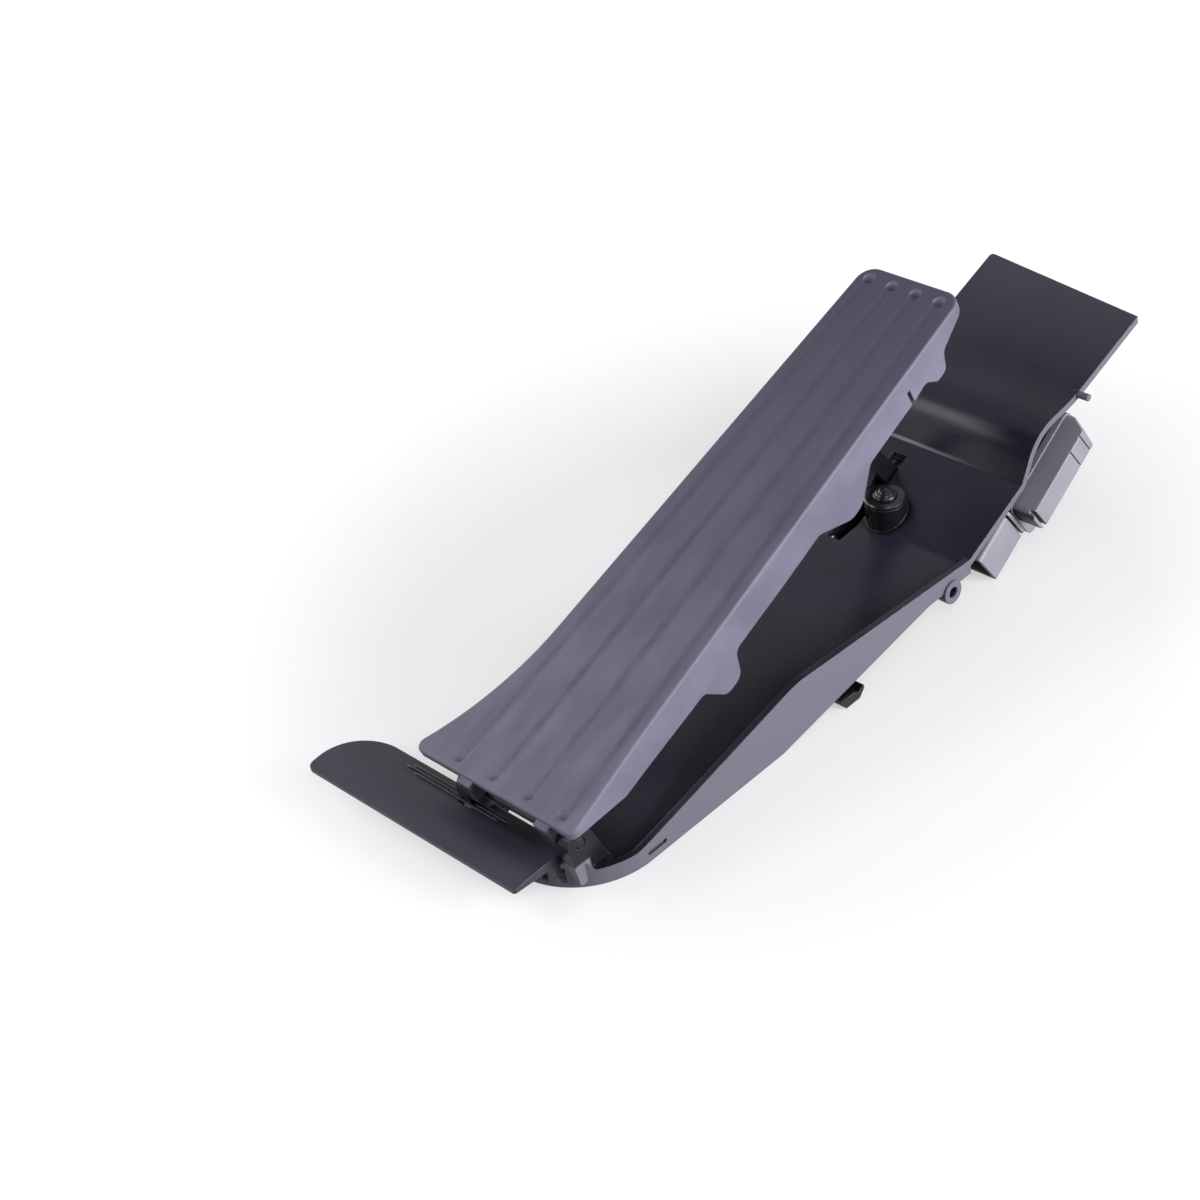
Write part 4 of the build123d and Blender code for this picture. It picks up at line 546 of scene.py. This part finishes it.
# %% Plastics
PEDAL_GREY = moulded_plastic(
    "pedal_grey", (0.077, 0.0715, 0.1075), (0.110, 0.1030, 0.151), (0.25, 0.24, 0.31), 0.55, 0.45, 22.0,
    cloud_mm=9.0, cloud_stretch=(1.0, 3.0, 2.0), edge_wear_and_highlight=0.35, specular=0.35,
    # Painted shade on the pedal: darker towards the top, partly also from less shoe wear, and along one flank of each
    # flute.
    marks=((upper_shade_and_wear, (0.050, 0.046, 0.073)), (flute_painted_shade, (0.045, 0.041, 0.066)),
           # Painted shade round the hinge.
           (hinge_painted_shade, (0.012, 0.011, 0.016))))
TRAY_BLACK = moulded_plastic(
    "tray_black", (0.0128, 0.0115, 0.0212), (0.0172, 0.0156, 0.0275), (0.10, 0.095, 0.12), 0.27, 0.9, 12.0,
    # Pale edges are wear and a painted highlight, and the outer walls' colour is a frost with a painted sheen.
    edge_wear_and_highlight=0.6, edge_mm=0.6, specular=0.20, frost_and_painted_sheen=(0.097, 0.0905, 0.1185),
    # Painted light at both ends of the tray, and a painted highlight in the crease under the step.
    marks=((tray_ends_painted_light, (0.046, 0.0430, 0.0600)), (crease_painted_highlight, (0.150, 0.142, 0.170)),
           # Painted shade on the deck by the hinge, and painted light in the heel's open cells.
           (heel_deck_painted_shade, (0.008, 0.0074, 0.011)), (heel_cells_painted_light, (0.150, 0.143, 0.172)),
           # Painted shade on the boss round the kick-down button.
           (kick_ring_painted_shade, (0.0045, 0.0042, 0.0060))))
LIP_BLACK = moulded_plastic(
    "lip_black", (0.019, 0.0175, 0.029), (0.027, 0.0250, 0.039), (0.10, 0.10, 0.13), 0.36, 0.5, 14.0,
    # The lip's rear band carries the painted shadow of the pedal's edge.
    cloud_stretch=(3.0, 1.0, 1.0), edge_wear_and_highlight=0.7, specular=0.30, marks=((lip_painted_shadow, (0.0060, 0.0056, 0.0085)),))
HOUSING_GREY = moulded_plastic(
    "housing_grey", (0.142, 0.134, 0.164), (0.165, 0.157, 0.188), (0.34, 0.33, 0.38), 0.50, 0.4, 20.0, edge_wear_and_highlight=0.5,
    # Painted shade on the faces that look out of the connector's mouth.
    marks=((mouth_painted_shade, (0.020, 0.019, 0.024)),))
KICK_BLACK = moulded_plastic(
    "kick_black", (0.0040, 0.0038, 0.0055), (0.0060, 0.0057, 0.0080), (0.05, 0.048, 0.06), 0.24, 0.6, 8.0,
    edge_wear_and_highlight=0.3, edge_mm=0.4, specular=0.32)
SLIDE_PLASTIC = moulded_plastic(
    "slide_plastic", (0.60, 0.58, 0.52), (0.66, 0.64, 0.58), (0.75, 0.73, 0.68), 0.35, 0.8, 5.0, edge_wear_and_highlight=0.3)
RUBBER = moulded_plastic(
    "rubber", (0.016, 0.016, 0.017), (0.024, 0.024, 0.025), (0.05, 0.05, 0.05), 0.75, 0.3, 25.0, edge_wear_and_highlight=0.3, specular=0.3)
CHIP_BLACK = moulded_plastic(
    "chip_black", (0.017, 0.017, 0.019), (0.022, 0.022, 0.025), (0.06, 0.06, 0.06), 0.55, 0.15, 8.0, edge_wear_and_highlight=0.2)
BOARD_GREEN = moulded_plastic(
    "board_green", (0.020, 0.120, 0.050), (0.030, 0.165, 0.070), (0.30, 0.30, 0.18), 0.28, 1.2, 8.0, edge_wear_and_highlight=0.4)
print("plastics:", [m.name for m in bpy.data.materials if m.name != "floor_paint"])

# %% [markdown]
# ## Metal
# Pins, springs, screws and terminals are bare metal. The tool leaves fine lines on them, which are noise drawn out
# along one axis, and handling leaves stains that make the metal darker and duller in places.

# %% Metals
STAIN_SIZE = 4.0 * MM
STAIN_DETAIL = 4.0
STAIN_BAND = (0.35, 0.65)
STAIN_DARK = 0.72
STAIN_DULL_BAND = (0.3, 0.7)
STAIN_DULL = 1.25
STAIN_BRIGHT = 0.85
LINE_DETAIL = 3.0
METAL_EDGE = 0.15 * MM


def worked_metal(name, colour, roughness, line_mm, stretch, depth_um):
    """Bare metal with fine lines left by the tool, drawn out along one axis."""
    finish, tree, shader = start_finish(name)
    place = tree.nodes.new("ShaderNodeTexCoord").outputs["Object"]
    lines = add_noise(tree, place, line_mm * MM, LINE_DETAIL, stretch)
    stain = add_noise(tree, place, STAIN_SIZE, STAIN_DETAIL)
    dark = tuple(STAIN_DARK * c for c in colour)
    tree.links.new(add_mix(tree, fade_in(tree, stain, STAIN_BAND), dark, colour), shader.inputs["Base Color"])
    dull = add_range(tree, stain, *STAIN_DULL_BAND, roughness * STAIN_DULL, roughness * STAIN_BRIGHT)
    tree.links.new(dull, shader.inputs["Roughness"])
    rounded, _ = add_edges(tree, METAL_EDGE)
    tree.links.new(add_bump(tree, lines, depth_um * UM, rounded), shader.inputs["Normal"])
    shader.inputs["Metallic"].default_value = 1.0
    return finish


STEEL = worked_metal("steel", (0.56, 0.56, 0.58), 0.30, 0.25, (8.0, 1.0, 1.0), 3.0)
BLACKED_STEEL = worked_metal("blacked_steel", (0.045, 0.045, 0.052), 0.42, 0.25, (8.0, 1.0, 1.0), 3.0)
SPRING_STEEL = worked_metal("spring_steel", (0.36, 0.36, 0.38), 0.38, 0.3, (1.0, 5.0, 5.0), 3.0)
MAGNET_GREY = worked_metal("magnet_grey", (0.12, 0.12, 0.13), 0.55, 0.2, (1.0, 1.0, 1.0), 8.0)
TERMINAL_BRASS = worked_metal("terminal_brass", (0.72, 0.61, 0.36), 0.25, 0.2, (1.0, 6.0, 6.0), 2.0)
print("metals ready")

# %% [markdown]
# ## Which solid wears which finish
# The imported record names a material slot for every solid, so the finishes are handed out by that slot. A few solids
# have a finish of their own, because they are darker than the rest of their slot. A CAD node keeps its mesh, and only
# its material changes.

# %% Dress the solids
FINISHES = {
    "pedal_grey": PEDAL_GREY,
    "tray_black": TRAY_BLACK,
    "lip_black": LIP_BLACK,
    "housing_black": HOUSING_GREY,
    "slide_plastic": SLIDE_PLASTIC,
    "steel": STEEL,
    "spring_steel": SPRING_STEEL,
    "rubber": RUBBER,
    "board_green": BOARD_GREEN,
    "chip_black": CHIP_BLACK,
    "magnet_grey": MAGNET_GREY,
    "terminal_brass": TERMINAL_BRASS,
}
OWN_FINISHES = {
    "kickdown_cup": KICK_BLACK,
    "kickdown_plunger": KICK_BLACK,
    "drive_lever": KICK_BLACK,
    "left_floor_clip": KICK_BLACK,
    "right_floor_clip": KICK_BLACK,
    "left_hinge_bush": KICK_BLACK,
    "right_hinge_bush": KICK_BLACK,
    "hinge_pin": BLACKED_STEEL,
}
for subpart in frame["record"]["subparts"]:
    solid = solids[subpart["node"]]
    solid.data.materials.clear()
    solid.data.materials.append(OWN_FINISHES.get(subpart["node"], FINISHES[subpart["material_slot"]]))

# %% [markdown]
# ## The kick-down button
# At the end of its travel the pedal meets a round button in the ramp. The real button is a turned-looking moulding:
# a dome with rings round it, so that it catches the light in thin crescents. It could be a spun outline, but insets and
# moves of one cylinder's cap are quicker to follow: each ring is one inset, and each step is one move upwards. The CAD
# plunger stays as the solid that slides in the cup, and this piece is seen in its place.

# %% Helpers for modelling
FACES_ALIKE = 0.9


def pick_faces(piece, wanted):
    """Select, in edit mode's face mode, only the faces that wanted(face) accepts."""
    bpy.ops.object.mode_set(mode="OBJECT")
    for part in (piece.data.vertices, piece.data.edges, piece.data.polygons):
        part.foreach_set("select", [False] * len(part))
    for face in piece.data.polygons:
        face.select = wanted(face)
    bpy.ops.object.mode_set(mode="EDIT")
    bpy.ops.mesh.select_mode(type="FACE")


def apply_bevel(piece, width, segments, angle):
    """Round every edge sharper than angle, and apply it."""
    rounding = piece.modifiers.new("rounding", "BEVEL")
    rounding.width = width
    rounding.segments = segments
    rounding.limit_method = "ANGLE"
    rounding.angle_limit = angle
    bpy.ops.object.modifier_apply(modifier=rounding.name)


print("modelling helpers ready")

# %% Kick-down button
plunger_low, plunger_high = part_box("kickdown_plunger")
plunger_middle = (plunger_low + plunger_high) / 2
BUTTON_SIDES = 72
STEM_RADIUS = 4.3 * MM
COLLAR_RADIUS = 5.3 * MM
COLLAR_HEIGHT = 4.6 * MM
POCKET_RADIUS = 3.5 * MM
POCKET_DEPTH = 5.0 * MM
DOME_HEIGHT = 2.6 * MM
DOME_FOOT_Z = plunger_high.z - DOME_HEIGHT
RINGS = [(0.35, 0.55), (0.40, -0.18), (0.40, 0.62), (0.35, 0.30),
         (0.40, -0.18), (0.40, 0.56), (0.45, 0.25), (0.70, 0.28)]
BUTTON_EDGE = 0.08 * MM
BUTTON_EDGE_ANGLE = 0.5
SMOOTH_ANGLE = 0.7

bpy.ops.object.select_all(action="DESELECT")
stem_low = plunger_low.z + COLLAR_HEIGHT
bpy.ops.mesh.primitive_cylinder_add(
    vertices=BUTTON_SIDES, radius=STEM_RADIUS, depth=DOME_FOOT_Z - stem_low,
    location=(plunger_middle.x, plunger_middle.y, (DOME_FOOT_Z + stem_low) / 2))
button = bpy.context.object
button.name = "kickdown_button"
bpy.ops.object.transform_apply(location=True, rotation=True, scale=True)
pick_faces(button, lambda face: face.normal.z > FACES_ALIKE)
for inset_mm, rise_mm in RINGS:
    bpy.ops.mesh.inset(thickness=inset_mm * MM)
    bpy.ops.transform.translate(value=(0.0, 0.0, rise_mm * MM))
pick_faces(button, lambda face: face.normal.z < -FACES_ALIKE)
bpy.ops.mesh.extrude_region_move(TRANSFORM_OT_translate={"value": (0.0, 0.0, 0.0)})
collar_scale = COLLAR_RADIUS / STEM_RADIUS
bpy.ops.transform.resize(
    value=(collar_scale, collar_scale, 1.0), center_override=(plunger_middle.x, plunger_middle.y, stem_low))
bpy.ops.mesh.extrude_region_move(TRANSFORM_OT_translate={"value": (0.0, 0.0, -COLLAR_HEIGHT)})
bpy.ops.mesh.inset(thickness=COLLAR_RADIUS - POCKET_RADIUS)
bpy.ops.mesh.extrude_region_move(TRANSFORM_OT_translate={"value": (0.0, 0.0, POCKET_DEPTH)})
bpy.ops.mesh.select_all(action="SELECT")
bpy.ops.mesh.normals_make_consistent(inside=False)
bpy.ops.object.mode_set(mode="OBJECT")
apply_bevel(button, BUTTON_EDGE, segments=2, angle=BUTTON_EDGE_ANGLE)
bpy.ops.object.shade_smooth_by_angle(angle=SMOOTH_ANGLE)
button.data.materials.append(KICK_BLACK)
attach(button, "kickdown")
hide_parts("kickdown_plunger")
print("button faces:", len(button.data.polygons), "top", max(v.co.z for v in button.data.vertices))

# %% [markdown]
# ## The coil under the button
# A coil spring gets shorter when the button goes down, and a rigid solid can't show that. The coil here is one mesh
# that rides on the base, wound from one circle, the section of its wire: a Screw modifier carries the circle round
# the button's axis while it climbs.

# %% Kick-down coil
spring_low, spring_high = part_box("kickdown_spring")
spring_middle = (spring_low + spring_high) / 2
COIL_RADIUS = 2.8 * MM
COIL_WIRE = 0.45 * MM
COIL_TURNS = 4
COIL_STEPS = 40
WIRE_SIDES = 14
coil_height = spring_high.z - spring_low.z

bpy.ops.object.select_all(action="DESELECT")
bpy.ops.mesh.primitive_circle_add(
    vertices=WIRE_SIDES, radius=COIL_WIRE, location=(COIL_RADIUS, 0.0, 0.0), rotation=(math.pi / 2, 0.0, 0.0))
coil = bpy.context.object
coil.name = "kickdown_coil"
bpy.ops.object.transform_apply(location=True, rotation=True, scale=True)
winding = coil.modifiers.new("winding", "SCREW")
winding.axis = "Z"
winding.screw_offset = (coil_height - 2 * COIL_WIRE) / COIL_TURNS
winding.iterations = COIL_TURNS
winding.steps = COIL_STEPS
winding.render_steps = COIL_STEPS
bpy.ops.object.modifier_apply(modifier=winding.name)
bpy.ops.object.mode_set(mode="EDIT")
bpy.ops.mesh.select_all(action="SELECT")
bpy.ops.mesh.fill_holes(sides=0)
bpy.ops.mesh.select_all(action="SELECT")
bpy.ops.mesh.normals_make_consistent(inside=False)
bpy.ops.object.mode_set(mode="OBJECT")
bpy.ops.transform.translate(value=(spring_middle.x, spring_middle.y, spring_low.z + COIL_WIRE))
bpy.ops.object.transform_apply(location=True, rotation=True, scale=True)
bpy.ops.object.shade_smooth_by_angle(angle=SMOOTH_ANGLE)
coil.data.materials.append(SPRING_STEEL)
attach(coil, "base")
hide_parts("kickdown_spring")
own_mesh(coil)
print("coil faces:", len(coil.data.polygons), "height", coil_height)

# %% [markdown]
# ## Ridges on the heel lip
# Along its rear edge the lip carries thin ridges that stiffen it beside the hinge. A ridge is long, low and rounded, so
# it starts as a box that is pulled out along the lip, tapers at both ends by scaling the end faces, and gets its round
# back from a bevel. One function models a ridge at the height of the lip's crown, once for each of the three places.

# %% Heel ridges
LIP_MIDDLE_Y = -6.7 * MM
LIP_HALF_WIDTH = 12.3 * MM
LIP_CROWN_Z = 12.9 * MM
LIP_CROWN_RISE = 0.9 * MM
RIDGE_WIDTH = 0.8 * MM
RIDGE_HEIGHT = 0.55 * MM
RIDGE_SUNK = 0.25 * MM
RIDGE_TAPER = 3.0 * MM
RIDGE_TIP_SCALE = (1.0, 0.35, 0.2)
RIDGE_ROUND = 0.36 * MM
RIDGE_ROUND_ANGLE = 0.6
RIDGE_SMOOTH_ANGLE = 1.0
RIDGES = [(2.9, -50.0, -9.0), (1.5, -52.0, -8.0), (0.1, -47.0, -11.0)]


def lip_top(y):
    """The height of the lip's crowned top at a place y."""
    return LIP_CROWN_Z - LIP_CROWN_RISE * ((y - LIP_MIDDLE_Y) / LIP_HALF_WIDTH) ** 2


def heel_ridge(name, y, left, right):
    """A tapered half-round ridge along the lip from left to right."""
    bpy.ops.object.select_all(action="DESELECT")
    height = RIDGE_HEIGHT + RIDGE_SUNK
    foot_z = lip_top(y) - RIDGE_SUNK
    bpy.ops.mesh.primitive_cube_add(size=1.0, location=((left + right) / 2, y, foot_z + height / 2))
    ridge = bpy.context.object
    ridge.name = name
    bpy.ops.transform.resize(value=(right - left, RIDGE_WIDTH, height))
    bpy.ops.object.transform_apply(location=True, rotation=True, scale=True)
    for side, end_x in ((-1.0, left - RIDGE_TAPER), (1.0, right + RIDGE_TAPER)):
        pick_faces(ridge, lambda face: face.normal.x * side > FACES_ALIKE)
        bpy.ops.mesh.extrude_region_move(TRANSFORM_OT_translate={"value": (side * RIDGE_TAPER, 0.0, 0.0)})
        bpy.ops.transform.resize(value=RIDGE_TIP_SCALE, center_override=(end_x, y, foot_z))
    bpy.ops.object.mode_set(mode="OBJECT")
    apply_bevel(ridge, RIDGE_ROUND, segments=3, angle=RIDGE_ROUND_ANGLE)
    bpy.ops.object.shade_smooth_by_angle(angle=RIDGE_SMOOTH_ANGLE)
    ridge.data.materials.append(LIP_BLACK)
    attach(ridge, "base")


for number, (y_mm, left_mm, right_mm) in enumerate(RIDGES, 1):
    heel_ridge(f"heel_ridge_{number}", y_mm * MM, left_mm * MM, right_mm * MM)
print("heel ridges:", len(RIDGES))
